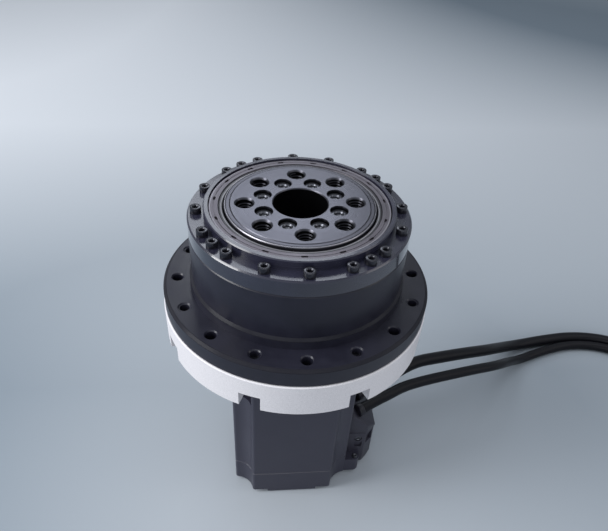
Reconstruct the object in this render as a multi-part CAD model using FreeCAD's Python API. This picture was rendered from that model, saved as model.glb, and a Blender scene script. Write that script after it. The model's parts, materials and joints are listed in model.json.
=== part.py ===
"""Robot joint actuator: a strain wave reducer with a crossed roller output bearing on a square servo motor.

Millimetres. The axis of rotation is Z, the motor stands on z = 0 and the output face looks up.
Each function below returns the solid of one piece, and the list at the end writes one STEP file per piece.
"""
import FreeCAD, Part
import math
import os

V = FreeCAD.Vector
Z = V(0, 0, 1)
ORIGIN = V(0, 0, 0)

# ---------------------------------------------------------------- driving dimensions
# clearances
FIT = 0.05              # two pieces of one body that slide together when they are assembled
RUN = 0.3               # pieces that turn past each other

# socket head screws: thread diameter, head diameter, head height, socket across flats
M2 = (2.0, 3.8, 2.0, 1.5)
M25 = (2.5, 4.5, 2.5, 2.0)
M3 = (3.0, 5.5, 3.0, 2.5)
M4 = (4.0, 7.0, 4.0, 3.0)
M5 = (5.0, 8.5, 5.0, 4.0)
SCREW_RECESS = 0.3      # from a sunk screw head to the surface round it
RING_SCREW_L = 22.0
ADAPTER_SCREW_L = 14.0
OUTPUT_SCREW_L = 18.0
MOTOR_SCREW_L = 16.0
CAM_SCREW_L = 12.0
BOX_SCREW_L = 8.0
SMALL_SCREW_L = 5.0

# servo motor
MOTOR_SIZE = 60.0       # across the flats of the square frame
SCALLOP_R = 9.0         # hollow down each corner of the motor, about the corner of the square
EDGE_R = 1.6
PARTING_CHAMFER = 0.35  # on both sides of the joint between the rear cover and the frame
REAR_PLATE_T = 2.5
REAR_PLATE_W = 26.0
REAR_COVER_H = 14.5
COVER_WALL = 2.5
FRAME_H = 76.8
FRAME_WALL = 3.0        # outside the stator, at the middle of each flat
REAR_WALL_T = 12.0
FRONT_FLANGE_T = 8.0
FRONT_HUB_WALL = 4.5    # round the front bearing
FRONT_HUB_H = 8.0
FRONT_CORNER_R = 8.0
PILOT_INSET = 5.0       # from the flats to the pilot
PILOT_H = 3.0
MOTOR_SCREW_INSET = 5.25    # from the flats to the middle of the mounting screws
SCREW_ROOM_R = 4.8      # room over the head of each mounting screw
SCREW_ROOM_H = 22.0
SHAFT_D = 14.0
SHAFT_REACH = 30.0      # how far the shaft stands out of the front flange
JOURNAL_D = 17.0
REAR_JOURNAL_D = 12.0
ENCODER_STUB_D = 8.0
STATOR_DEPTH = 11.0     # from the frame's bore to the stator's
SLOTS = 12
MAGNET_T = 2.2
AIR_GAP = 0.6
POLES = 8
END_TURN_H = 6.0
END_TURN_GAP = 1.5      # from the windings to the walls above and below them
KEY_W = 5.0
KEY_L = 14.0

# ball bearings of the motor
FRONT_BEARING_D = 35.0
FRONT_BEARING_W = 10.0
FRONT_BALL_D = 5.0
REAR_BEARING_D = 28.0
REAR_BEARING_W = 8.0
REAR_BALL_D = 4.5
MOTOR_BALLS = 7

# encoder
ENCODER_DISC_D = 30.0
ENCODER_DISC_T = 1.2
BOARD_D = 42.0
BOARD_BORE_D = 14.0
BOARD_T = 1.6

# connector housing on the motor's side
BOX_REACH = 14.5        # from the motor's side face
BOX_W = 28.0
BOX_H = 28.0
BOX_CHAMFER = 7.5       # down both outer corners
BOX_FOOT_INSET = 6.0    # how far the face slopes back to the foot
BOX_FOOT_H = 9.5
BOX_LEAN = 1.0          # of the face above the foot
EXIT_STEP = 2.5         # how far the upper block stands out from the lower one
EXIT_H = 19.5
EXIT_LEAN = 4.5         # how far the upper block's face slopes back to its top
BOX_SILL_REACH = 8.0
BOX_SILL_W = 40.6
BOX_SILL_H = 10.0
BOX_CORNER = 3.0
BOX_SCREW_SPACING = 20.8
BOX_SCREW_X = 3.7       # from the motor's side face
SIDE_SCREW_X = 4.5
SIDE_SCREW_Z = 23.8
GLAND_WALL = 0.9
GLAND_L = 7.0
GLAND_H = 41.0          # height of the leads above the base

# strain wave gear
PITCH_D = 63.5          # flexspline, before it is bent
FLEX_TEETH = 100
TOOTH_DIFFERENCE = 2
ADDENDUM = 0.45
DEDENDUM = 0.55
TOOTH_SHARE = 0.45      # tooth thickness over the pitch
FLANK_ANGLE = 25.0
SPLINE_W = 12.0
SPLINE_RIM = 7.25       # from the pitch circle to the outside of the circular spline
SPLINE_SCREWS = 12
SPLINE_SCREW_EDGE = 2.75
FLEX_WALL = 0.85
FLEX_TAPER_H = 9.4
DIAPHRAGM_T = 0.8
BOSS_EDGE = 3.0         # of the flexspline's boss, outside the middle of its screws
BOSS_H = 5.0
BOSS_STEP = 1.0         # from the output bore in to the boss bore
CLAMP_RING_T = 3.5
RACE_T = 1.75
WAVE_BALL_D = 3.7
WAVE_BALLS = 16
RACE_W = 8.0
CAM_W = 10.0
CAM_HUB_D = 22.0
CAM_HUB_H = 4.0
CAM_WASHER_T = 1.5

# reducer housing, each width out from the one before
HOUSING_WALL = 6.0      # outside the circular spline
FLANGE_SCREW_STEP = 6.5
FLANGE_EDGE = 6.0       # outside the middle of the flange's holes
FLANGE_T = 8.7
FLANGE_HOLES = 16
FLANGE_HOLE_D = 4.5
FLANGE_HOLE_CHAMFER = 0.5
HOUSING_H = 26.8
COLLAR_H = 5.2
COLLAR_STEP = 1.0
SPIGOT_H = 3.0
SPLINE_SEAT_H = 4.0
SPLINE_SHOULDER_EDGE = 2.25

# adapter ring
ADAPTER_LIP = 0.5       # how far it stands out under the flange
ADAPTER_T = 16.0
ADAPTER_FLOOR_T = 10.0
ADAPTER_HOLE_D = 5.0
POCKET_W = 9.2
POCKET_DEPTH = 7.5
POCKETS = 8
INPUT_SEAL_D = 28.0
INPUT_SEAL_T = 7.0

# output end, each width in from the one before
RING_SCREW_EDGE = 3.5   # from the outside of the bearing to the middle of its screws
RIM_TO_SCREWS = 3.0
RIM_W = 1.9
RETAINER_W = 4.3
SEAL_W = 1.9
LAND_W = 2.2
LIP_STEP = 1.4
OUTPUT_HOLE_EDGE = 4.55
INNER_STEP = 6.25       # from the output holes to the inner screws
BORE_WALL = 5.0
RING_SCREWS_EVEN = 16   # and one more in each quarter
RISE = 4.1              # output face above the screw ledge
RIM_RISE = 3.9
RETAINER_RISE = 3.2
LIP_T = 2.5
BORE_CHAMFER = 0.4
OUTPUT_HOLES = 8
OUTPUT_HOLE_D = 6.8     # drilled and tapped for M8
OUTPUT_HOLE_DEPTH = 13.0
OUTPUT_HOLE_CHAMFER = 0.7
INNER_SCREWS = 8
COUNTERBORE_DEPTH = 5.4
BORE_CAP_T = 2.0
NOTCHES = 15
NOTCH_START = 100.0
NOTCH_SIZE = (2.5, 1.0, 0.8)    # along the ring, across it, deep
GROOVE_W = 0.24         # turned line through the notches

# crossed roller bearing
BEARING_HALF_H = 7.2
ROLLER_D = 5.0
RACE_STEP = 2.8         # from the land under the seal out to the middle of the rollers
ROLLERS = 24
RING_GAP = 0.6          # between the inner and the outer ring

# leads
POWER_D = 7.2
ENCODER_D = 6.0
POWER_PLUG = (26.0, 16.0, 12.0)     # long, wide, high
ENCODER_PLUG = (20.0, 12.0, 10.0)

# ---------------------------------------------------------------- widths worked out from them
FRAME_BORE_D = MOTOR_SIZE - 2 * FRAME_WALL
STATOR_BORE_D = FRAME_BORE_D - 2 * STATOR_DEPTH
PILOT_D = MOTOR_SIZE - 2 * PILOT_INSET
MOTOR_PCD = (MOTOR_SIZE - 2 * MOTOR_SCREW_INSET) * math.sqrt(2)
FRONT_HUB_D = FRONT_BEARING_D + 2 * FRONT_HUB_WALL
FRONT_BEARING = (FRONT_BEARING_D, FRONT_BEARING_W, FRONT_BALL_D)
REAR_BEARING = (REAR_BEARING_D, REAR_BEARING_W, REAR_BALL_D)

SPLINE_OD = PITCH_D + 2 * SPLINE_RIM
SPLINE_SCREW_PCD = SPLINE_OD - 2 * SPLINE_SCREW_EDGE
SPLINE_SHOULDER_D = SPLINE_SCREW_PCD - 2 * SPLINE_SHOULDER_EDGE
BODY_D = SPLINE_OD + 2 * HOUSING_WALL
FLANGE_PCD = BODY_D + 2 * FLANGE_SCREW_STEP
FLANGE_D = FLANGE_PCD + 2 * FLANGE_EDGE
ADAPTER_D = FLANGE_D + 2 * ADAPTER_LIP
ADAPTER_HOLLOW_D = SPLINE_OD - 2.0

RING_SCREWS_PCD = BODY_D - 2 * RING_SCREW_EDGE
RIM_OD = RING_SCREWS_PCD - 2 * RIM_TO_SCREWS
RETAINER_OD = RIM_OD - 2 * RIM_W
SEAL_OD = RETAINER_OD - 2 * RETAINER_W
LAND_D = SEAL_OD - 2 * SEAL_W
LIP_D = LAND_D - 2 * LAND_W
OUTPUT_BODY_D = LIP_D - 2 * LIP_STEP
OUTPUT_PCD = OUTPUT_BODY_D - 2 * OUTPUT_HOLE_EDGE
INNER_PCD = OUTPUT_PCD - 2 * INNER_STEP
BORE_D = INNER_PCD - 2 * BORE_WALL
NOTCH_PCD = (RETAINER_OD + SEAL_OD) / 2
ROLLER_PCD = LAND_D + 2 * RACE_STEP
BOSS_D = INNER_PCD + 2 * BOSS_EDGE
BOSS_BORE_D = BORE_D - 2 * BOSS_STEP

# ---------------------------------------------------------------- heights worked out from them
COVER_Z = REAR_PLATE_T
FRAME_Z = COVER_Z + REAR_COVER_H
FRONT_Z = FRAME_Z + FRAME_H
ADAPTER_Z = FRONT_Z + FRONT_FLANGE_T
HOUSING_Z = ADAPTER_Z + ADAPTER_T
FLANGE_TOP = HOUSING_Z + FLANGE_T
HOUSING_TOP = HOUSING_Z + HOUSING_H
BEARING_Z = HOUSING_TOP + BEARING_HALF_H
LEDGE_Z = BEARING_Z + BEARING_HALF_H
OUTPUT_Z = LEDGE_Z + RISE
RETAINER_Z = LEDGE_Z + RETAINER_RISE

SPLINE_Z = HOUSING_Z + SPLINE_SEAT_H
SPLINE_TOP = SPLINE_Z + SPLINE_W
MODULE = PITCH_D / FLEX_TEETH
SPLINE_TEETH = FLEX_TEETH + TOOTH_DIFFERENCE
BEND = MODULE * TOOTH_DIFFERENCE / 2        # how far the cam bends the flexspline outwards
FLEX_ROOT_R = PITCH_D / 2 - DEDENDUM + FIT
FLEX_BORE_R = FLEX_ROOT_R - FLEX_WALL
DIAPHRAGM_Z = SPLINE_TOP + FLEX_TAPER_H
BOSS_Z = DIAPHRAGM_Z - 1.0
BOSS_TOP = BOSS_Z + BOSS_H
COUNTERBORE_Z = OUTPUT_Z - COUNTERBORE_DEPTH

RACE_OUT_R = FLEX_BORE_R - FIT
RACE_IN_R = RACE_OUT_R - RACE_T
BALL_R = RACE_IN_R - FIT - WAVE_BALL_D / 2
CAM_RACE_R = BALL_R - WAVE_BALL_D / 2 - FIT
CAM_R = CAM_RACE_R - RACE_T
RACE_Z = SPLINE_Z + (SPLINE_W - RACE_W) / 2
CAM_Z = SPLINE_Z + (SPLINE_W - CAM_W) / 2

ROLLER_R = ROLLER_PCD / 2
ROLLER_CORNER = ROLLER_D / math.sqrt(2)
SHOULDER_IN_R = ROLLER_R - RING_GAP / 2
SHOULDER_OUT_R = ROLLER_R + RING_GAP / 2
SHAFT_TOP = ADAPTER_Z + SHAFT_REACH
STACK_Z = FRAME_Z + REAR_WALL_T + END_TURN_H + END_TURN_GAP
STACK_TOP = FRONT_Z - FRONT_HUB_H - END_TURN_H - END_TURN_GAP
FRONT_BEARING_Z = FRONT_Z + FRONT_FLANGE_T / 2 - FRONT_BEARING_W
REAR_BEARING_Z = FRAME_Z + REAR_WALL_T - REAR_BEARING_W
DISC_Z = FRAME_Z - 5.0
BOARD_Z = FRAME_Z - BOARD_T - 1.0
SIDE_X = MOTOR_SIZE / 2
BOX_X = SIDE_X + BOX_REACH
EXIT_Z = COVER_Z + BOX_H
EXIT_TOP = EXIT_Z + EXIT_H

# angles of the screws round the output: evenly spaced, and one more half a step off in each quarter
RING_STEP = 360.0 / RING_SCREWS_EVEN
RING_SCREW_ANGLES = [RING_STEP * i for i in range(RING_SCREWS_EVEN)]
RING_SCREW_ANGLES += [RING_STEP * 1.5 + 90.0 * i for i in range(4)]
INNER_START = 180.0 / INNER_SCREWS


# ---------------------------------------------------------------- helpers
def cyl(r, z0, z1, x=0.0, y=0.0):
    return Part.makeCylinder(r, z1 - z0, V(x, y, z0), Z)


def tube(r_out, r_in, z0, z1):
    return cyl(r_out, z0, z1).cut(cyl(r_in, z0 - 1, z1 + 1))


def cone(r0, r1, z0, z1, x=0.0, y=0.0):
    return Part.makeCone(r0, r1, z1 - z0, V(x, y, z0), Z)


def block(x0, x1, y0, y1, z0, z1):
    return Part.makeBox(x1 - x0, y1 - y0, z1 - z0, V(x0, y0, z0))


def revolve(profile, angle=360.0):
    """Turns a closed outline of (radius, height) points about the axis."""
    points = [V(r, 0, z) for r, z in profile]
    face = Part.Face(Part.makePolygon(points + points[:1]))
    return face.revolve(ORIGIN, Z, angle)


def turned(shape, angle):
    copy = shape.copy()
    copy.rotate(ORIGIN, Z, angle)
    return copy


def at_angles(shape, angles):
    return [turned(shape, a) for a in angles]


def around(shape, count, start=0.0):
    return at_angles(shape, [start + 360.0 * i / count for i in range(count)])


def cut_all(shape, tools):
    return shape.cut(Part.makeCompound(tools)) if tools else shape


def prism(points, z0, z1):
    face = Part.Face(Part.makePolygon(points + points[:1]))
    face.translate(V(0, 0, z0 - points[0].z))
    return face.extrude(V(0, 0, z1 - z0))


def ellipse_wire(r, z):
    """A circle of radius r as the cam bends it: longer along X, shorter along Y."""
    oval = Part.Ellipse(V(0, 0, z), r + BEND, r - BEND)
    return Part.Wire(oval.toShape())


def oval_plug(r, z0, z1):
    return Part.Face(ellipse_wire(r, z0)).extrude(V(0, 0, z1 - z0))


def vertical_edges(shape, keep):
    """Straight edges along Z whose x, y pass the test."""
    found = []
    for edge in shape.Edges:
        a, b = edge.Vertexes[0].Point, edge.Vertexes[-1].Point
        upright = abs(a.x - b.x) < 1e-6 and abs(a.y - b.y) < 1e-6 and abs(a.z - b.z) > 1e-6
        if upright and keep(a.x, a.y):
            found.append(edge)
    return found


def socket_screw(size, length, x, y, seat, up=1):
    """A socket head cap screw whose head sits on height seat, looking up (1) or down (-1)."""
    thread_d, head_d, head_h, flats = size
    head = Part.makeCylinder(head_d / 2, head_h, ORIGIN, Z)
    shank = Part.makeCylinder(thread_d / 2, length, V(0, 0, -length), Z)
    corner = flats / math.sqrt(3)
    hexagon = [V(corner * math.cos(math.radians(60 * i)), corner * math.sin(math.radians(60 * i)), 0)
               for i in range(6)]
    socket = prism(hexagon, head_h * 0.45, head_h + 1)
    screw = head.fuse(shank).removeSplitter().cut(socket)
    if up < 0:
        screw.rotate(ORIGIN, V(1, 0, 0), 180)
    screw.translate(V(x, y, seat))
    return screw


def screw_holes(size, pcd, angles, z0, z1, clearance=0.1):
    return at_angles(cyl(size[0] / 2 + clearance, z0, z1, pcd / 2), angles)


def evenly(count, start=0.0):
    return [start + 360.0 * i / count for i in range(count)]


# ---------------------------------------------------------------- servo motor
def motor_section(z0, z1, inset=0.0):
    """The square of the motor with a hollow down each corner, or the same outline some way inside it."""
    half = MOTOR_SIZE / 2
    body = block(inset - half, half - inset, inset - half, half - inset, z0, z1)
    scallop = cyl(SCALLOP_R + inset, z0 - 1, z1 + 1, half, half)
    body = cut_all(body, at_angles(scallop, evenly(4)))
    return body.makeFillet(EDGE_R, vertical_edges(body, lambda x, y: True))


def level_edges(shape, z):
    return [e for e in shape.Edges if all(abs(v.Z - z) < 1e-6 for v in e.Vertexes)]


def rear_plate():
    half, wide = MOTOR_SIZE / 2, REAR_PLATE_W / 2
    cross = block(-half, half, -wide, wide, 0, REAR_PLATE_T)
    cross = cross.fuse(block(-wide, wide, -half, half, 0, REAR_PLATE_T)).removeSplitter()
    return cross.makeChamfer(REAR_PLATE_T * 0.3, level_edges(cross, 0))


def sill_block(z0, z1):
    """The step of the rear cover that carries the connector housing."""
    step = block(SIDE_X - SCALLOP_R, SIDE_X + BOX_SILL_REACH, -BOX_SILL_W / 2, BOX_SILL_W / 2, z0, z1)
    corners = vertical_edges(step, lambda x, y: x > SIDE_X)
    return step.makeFillet(BOX_CORNER, corners)


def motor_rear_cover():
    outside = motor_section(COVER_Z, FRAME_Z)
    outside = outside.makeChamfer(PARTING_CHAMFER, level_edges(outside, FRAME_Z))
    shell = outside.fuse(sill_block(COVER_Z, COVER_Z + BOX_SILL_H)).removeSplitter()
    shell = shell.cut(motor_section(COVER_Z + COVER_WALL, FRAME_Z + 1, COVER_WALL))
    posts = [cyl(M3[1] / 2 + 1.2, COVER_Z + COVER_WALL, FRAME_Z, x, y) for x, y in cover_screw_places()]
    posts = [post.common(outside) for post in posts]
    shell = shell.multiFuse(posts).removeSplitter()
    holes = [cyl(M3[0] / 2 + 0.1, 0, FRAME_Z + 1, x, y) for x, y in cover_screw_places()]
    holes += [cyl(M3[1] / 2 + 0.2, 0, cover_screw_seat(), x, y) for x, y in cover_screw_places()]
    sill_z = COVER_Z + BOX_SILL_H
    holes += [cyl(M2[0] / 2, sill_z - SMALL_SCREW_L - 1, sill_z + 1, x, y) for x, y in sill_screw_places()]
    return cut_all(shell, holes)


def sill_screw_places():
    y = (BOX_W + BOX_SILL_W) / 4 + 0.1
    return [(SIDE_X + BOX_SILL_REACH - 2.0 - M2[1] / 4, sy * y) for sy in (-1, 1)]


def cover_screw_seat():
    return COVER_Z + M3[2] + SCREW_RECESS


def cover_screw_places():
    reach = SIDE_X - (SCALLOP_R + M3[1] / 2 + 1.2) / math.sqrt(2)
    return [(sx * reach, sy * reach) for sx in (-1, 1) for sy in (-1, 1)]


def cover_screws():
    return [socket_screw(M3, REAR_COVER_H, x, y, cover_screw_seat(), -1) for x, y in cover_screw_places()]


def motor_frame():
    frame = motor_section(FRAME_Z, FRONT_Z)
    frame = frame.makeChamfer(PARTING_CHAMFER, level_edges(frame, FRAME_Z))
    frame = frame.cut(cyl(FRAME_BORE_D / 2, FRAME_Z + REAR_WALL_T, FRONT_Z + 1))
    frame = frame.cut(cyl(REAR_BEARING_D / 2, REAR_BEARING_Z, FRAME_Z + REAR_WALL_T + 1))
    frame = frame.cut(cyl(REAR_JOURNAL_D / 2 + 1.0, FRAME_Z - 1, FRONT_Z))
    holes = [cyl(M3[0] / 2, FRAME_Z - 1, FRAME_Z + 8, x, y) for x, y in cover_screw_places()]
    room = block(MOTOR_PCD / 2, MOTOR_SIZE, -SCREW_ROOM_R, SCREW_ROOM_R, FRONT_Z - SCREW_ROOM_H, FRONT_Z + 1)
    room = room.fuse(cyl(SCREW_ROOM_R, FRONT_Z - SCREW_ROOM_H, FRONT_Z + 1, MOTOR_PCD / 2))
    return cut_all(frame, holes + at_angles(room, evenly(4, 45)))


def motor_front_flange():
    half = MOTOR_SIZE / 2
    plate = block(-half, half, -half, half, FRONT_Z, ADAPTER_Z)
    plate = plate.makeFillet(FRONT_CORNER_R, vertical_edges(plate, lambda x, y: True))
    plate = plate.fuse(cyl(PILOT_D / 2, ADAPTER_Z - 1, ADAPTER_Z + PILOT_H))
    plate = plate.fuse(cyl(FRONT_HUB_D / 2, FRONT_Z - FRONT_HUB_H, FRONT_Z + 1)).removeSplitter()
    plate = plate.cut(cyl(FRONT_BEARING_D / 2, FRONT_Z - FRONT_HUB_H - 1, FRONT_BEARING_Z + FRONT_BEARING_W))
    plate = plate.cut(cyl(JOURNAL_D / 2 + 1.5, FRONT_Z, ADAPTER_Z + PILOT_H + 1))
    return cut_all(plate, screw_holes(M5, MOTOR_PCD, evenly(4, 45), FRONT_Z - 1, ADAPTER_Z + 1, 0.25))


def stator_core():
    core = tube(FRAME_BORE_D / 2 - FIT, STATOR_BORE_D / 2, STACK_Z, STACK_TOP)
    inner, outer = STATOR_BORE_D / 2 + 2.0, FRAME_BORE_D / 2 - 4.0
    slot = block(inner, outer, -1.8, 1.8, STACK_Z - 1, STACK_TOP + 1)
    mouth = block(0, inner + 0.5, -0.8, 0.8, STACK_Z - 1, STACK_TOP + 1)
    return cut_all(core, around(slot.fuse(mouth), SLOTS))


def stator_windings():
    inner, outer = STATOR_BORE_D / 2 + 2.4, FRAME_BORE_D / 2 - 4.4
    low = tube(outer, inner, STACK_Z - END_TURN_H, STACK_Z)
    high = tube(outer, inner, STACK_TOP, STACK_TOP + END_TURN_H)
    bar = block(inner + 0.3, outer - 0.3, -1.5, 1.5, STACK_Z - 1, STACK_TOP + 1)
    return low.multiFuse([high] + around(bar, SLOTS)).removeSplitter()


def ball_ring(spec, inner_d, z0, part):
    """The outer or the inner ring of a deep groove ball bearing, with its groove."""
    outer_d, width, ball_d = spec
    mid_r = (outer_d + inner_d) / 4
    groove = Part.makeTorus(mid_r, ball_d / 2 + FIT, V(0, 0, z0 + width / 2), Z)
    if part == "outer":
        ring = tube(outer_d / 2 - FIT, mid_r + ball_d * 0.3, z0, z0 + width)
    else:
        ring = tube(mid_r - ball_d * 0.3, inner_d / 2 + FIT, z0, z0 + width)
    return ring.cut(groove)


def ball_set(spec, inner_d, z0):
    outer_d, width, ball_d = spec
    ball = Part.makeSphere(ball_d / 2 - FIT, V((outer_d + inner_d) / 4, 0, z0 + width / 2))
    return around(ball, MOTOR_BALLS)


def motor_shaft():
    stub_z = COVER_Z + COVER_WALL + 3.0
    rotor_r = STATOR_BORE_D / 2 - AIR_GAP - MAGNET_T - 4.0
    shaft = cyl(ENCODER_STUB_D / 2, stub_z, FRAME_Z)
    shaft = shaft.fuse(cyl(REAR_JOURNAL_D / 2, FRAME_Z, STACK_Z - 3))
    shaft = shaft.fuse(cyl(rotor_r, STACK_Z - 3, STACK_TOP + 3))
    shaft = shaft.fuse(cyl(JOURNAL_D / 2, STACK_TOP + 3, ADAPTER_Z))
    shaft = shaft.fuse(cyl(SHAFT_D / 2, ADAPTER_Z, SHAFT_TOP)).removeSplitter()
    shaft = shaft.cut(key_block(FIT))
    return shaft.cut(cyl(M5[0] / 2, SHAFT_TOP - 12, SHAFT_TOP + 1))


def key_block(grow=0.0):
    z1 = min(SHAFT_TOP, CAM_Z + CAM_W) - 1.0
    return block(SHAFT_D / 2 - 3.0 - grow, SHAFT_D / 2 + 2.0, -KEY_W / 2 - grow, KEY_W / 2 + grow,
                 z1 - KEY_L - grow, z1 + grow)


def rotor_core():
    rotor_r = STATOR_BORE_D / 2 - AIR_GAP - MAGNET_T
    return tube(rotor_r, rotor_r - 4.0 + FIT, STACK_Z, STACK_TOP)


def rotor_magnets():
    r_out = STATOR_BORE_D / 2 - AIR_GAP
    r_in = r_out - MAGNET_T + FIT
    share = 360.0 / POLES * 0.86
    outline = [(r_in, STACK_Z + 1), (r_out, STACK_Z + 1), (r_out, STACK_TOP - 1),
               (r_in, STACK_TOP - 1)]
    return around(revolve(outline, share), POLES)


def encoder_disc():
    disc = cyl(ENCODER_DISC_D / 2, DISC_Z, DISC_Z + ENCODER_DISC_T)
    disc = disc.fuse(cyl(ENCODER_STUB_D / 2 + 2.5, DISC_Z - 2.5, DISC_Z))
    return disc.cut(cyl(ENCODER_STUB_D / 2 + FIT, 0, FRAME_Z))


def encoder_board():
    board = cyl(BOARD_D / 2, BOARD_Z, BOARD_Z + BOARD_T).cut(cyl(BOARD_BORE_D / 2, 0, FRAME_Z + 1))
    chips = [block(10.0, 15.0, -3.0, 3.0, BOARD_Z + BOARD_T, BOARD_Z + BOARD_T + 0.9)]
    feet = [cyl(2.0, BOARD_Z + BOARD_T, FRAME_Z, BOARD_D / 2 - 2.5)]
    return board.multiFuse(around(feet[0], 3, 60) + [turned(chips[0], 180)]).removeSplitter()


# ---------------------------------------------------------------- connector housing
def housing_block(profile, face_x):
    """An outline of (x, z) points drawn out across the housing's width, with both outer corners cut off."""
    half = BOX_W / 2
    points = [V(x, -half, z) for x, z in profile]
    body = Part.Face(Part.makePolygon(points + points[:1])).extrude(V(0, BOX_W, 0))
    inner = half - BOX_CHAMFER
    plan = [V(SIDE_X, -half, 0), V(face_x - BOX_CHAMFER, -half, 0), V(face_x, -inner, 0), V(face_x, inner, 0),
            V(face_x - BOX_CHAMFER, half, 0), V(SIDE_X, half, 0)]
    return body.common(prism(plan, 0, EXIT_TOP + 1))


def connector_box():
    half, foot_z = BOX_W / 2, COVER_Z + BOX_FOOT_H
    box = housing_block([(SIDE_X, COVER_Z), (BOX_X - BOX_FOOT_INSET, COVER_Z), (BOX_X - BOX_LEAN, foot_z),
                         (BOX_X, EXIT_Z), (SIDE_X, EXIT_Z)], BOX_X)
    box = box.cut(sill_block(COVER_Z - 1, COVER_Z + BOX_SILL_H))
    tools = box_screw_tools(M25[0] / 2, EXIT_Z - BOX_SCREW_L, EXIT_Z + 1)
    for side in (-1, 1):
        tools.append(side_screw_room(M2[0] / 2, SMALL_SCREW_L + SCREW_RECESS + 1, side))
        tools.append(side_screw_room(M2[1] / 2 + 0.2, M2[2] + SCREW_RECESS, side))
        y0, y1 = sorted((side * (half - 1.0), side * (half + 1.0)))
        tools.append(block(SIDE_X + 2.0, SIDE_X + 6.5, y0, y1, SIDE_SCREW_Z - 7.0, SIDE_SCREW_Z - 3.2))
        label = block(half - 0.9, half + 5.0, -2.6, 2.6, EXIT_Z - 6.5, EXIT_Z - 1.5)
        label.rotate(ORIGIN, Z, 45.0 * side)
        centre_x = BOX_X - BOX_CHAMFER / 2
        reach = V(centre_x, side * (half - BOX_CHAMFER / 2), 0)
        label.translate(reach - V(half, side * half, 0) * math.sqrt(0.5))
        tools.append(label)
    return cut_all(box, tools)


def side_screw_room(r, depth, side):
    start = V(SIDE_X + SIDE_SCREW_X, side * (BOX_W / 2 + 1), SIDE_SCREW_Z)
    return Part.makeCylinder(r, depth + 1, start, V(0, -side, 0))


def side_screws():
    """The small screws in the housing's flanks, with their heads sunk."""
    screws = []
    for side in (-1, 1):
        screw = socket_screw(M2, SMALL_SCREW_L - M2[2], 0, 0, 0)
        screw.rotate(ORIGIN, V(1, 0, 0), -90 * side)
        seat = BOX_W / 2 - M2[2] - SCREW_RECESS
        screw.translate(V(SIDE_X + SIDE_SCREW_X, side * seat, SIDE_SCREW_Z))
        screws.append(screw)
    return screws


def box_screw_tools(r, z0, z1):
    return [cyl(r, z0, z1, SIDE_X + BOX_SCREW_X, sy * BOX_SCREW_SPACING / 2) for sy in (-1, 1)]


def cable_exit_block():
    face_x = BOX_X + EXIT_STEP
    top = housing_block([(SIDE_X, EXIT_Z), (BOX_X, EXIT_Z), (face_x, EXIT_Z + EXIT_STEP * 0.5),
                         (face_x, EXIT_Z + EXIT_STEP * 1.4), (face_x - EXIT_LEAN, EXIT_TOP - 2.0),
                         (face_x - EXIT_LEAN - 1.5, EXIT_TOP), (SIDE_X, EXIT_TOP)], face_x)
    wells = box_screw_tools(M25[1] / 2 + 0.3, EXIT_Z + 3, EXIT_TOP + 1)
    holes = box_screw_tools(M25[0] / 2 + 0.1, EXIT_Z - 1, EXIT_TOP + 1)
    sockets = [gland_shape(route, d / 2 + GLAND_WALL, -GLAND_L, 6.0) for route, d in LEADS]
    return cut_all(top, wells + holes + sockets)


def gland_shape(route, r, back, ahead):
    """A cylinder on the line of the lead's first run, between two distances from the lead's start."""
    start = V(*route[0])
    way = (V(*route[1]) - start).normalize()
    return Part.makeCylinder(r, ahead - back, start + way * back, way)


def cable_glands():
    glands = []
    for route, d in LEADS:
        gland = gland_shape(route, d / 2 + GLAND_WALL - FIT, -GLAND_L, 0.0)
        start = V(*route[0])
        rim = [e for e in gland.Edges if len(e.Vertexes) == 1 and e.CenterOfMass.distanceToPoint(start) < 0.1]
        glands.append(gland.makeChamfer(GLAND_WALL * 0.6, rim))
    return glands


def box_screws():
    y = BOX_SCREW_SPACING / 2
    screws = [socket_screw(M25, BOX_SCREW_L + 3, SIDE_X + BOX_SCREW_X, sy * y, EXIT_Z + 3) for sy in (-1, 1)]
    screws += [socket_screw(M2, SMALL_SCREW_L, x, y, COVER_Z + BOX_SILL_H) for x, y in sill_screw_places()]
    return screws + side_screws()


# ---------------------------------------------------------------- adapter ring
def pocket_angles():
    return evenly(POCKETS, 360.0 / FLANGE_HOLES)


def mount_angles():
    return evenly(FLANGE_HOLES - POCKETS)


def adapter_ring():
    ring = cyl(ADAPTER_D / 2, ADAPTER_Z, HOUSING_Z)
    ring = ring.makeChamfer(0.4, [e for e in ring.Edges if len(e.Vertexes) == 1])
    ring = ring.cut(cyl(ADAPTER_HOLLOW_D / 2, ADAPTER_Z + ADAPTER_FLOOR_T, HOUSING_Z + 1))
    ring = ring.cut(cyl(PILOT_D / 2 + FIT, ADAPTER_Z - 1, ADAPTER_Z + PILOT_H + FIT))
    ring = ring.cut(cyl(INPUT_SEAL_D / 2, ADAPTER_Z + ADAPTER_FLOOR_T - INPUT_SEAL_T, HOUSING_Z))
    ring = ring.cut(cyl(SHAFT_D / 2 + 4.0, ADAPTER_Z, HOUSING_Z))
    start = FLANGE_PCD / 2
    slot = block(start, ADAPTER_D, -POCKET_W / 2, POCKET_W / 2, ADAPTER_Z - 1, ADAPTER_Z + POCKET_DEPTH)
    slot = slot.fuse(cyl(POCKET_W / 2, ADAPTER_Z - 1, ADAPTER_Z + POCKET_DEPTH, start))
    ring = cut_all(ring, at_angles(slot, pocket_angles()))
    holes = at_angles(cyl(ADAPTER_HOLE_D / 2, ADAPTER_Z, HOUSING_Z + 1, FLANGE_PCD / 2), pocket_angles())
    holes += at_angles(cyl(FLANGE_HOLE_D / 2, ADAPTER_Z - 1, HOUSING_Z + 1, FLANGE_PCD / 2), mount_angles())
    holes += screw_holes(M5, MOTOR_PCD, evenly(4, 45), ADAPTER_Z - 1, ADAPTER_Z + ADAPTER_FLOOR_T - 1.5, 0.0)
    return cut_all(ring, holes)


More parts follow.
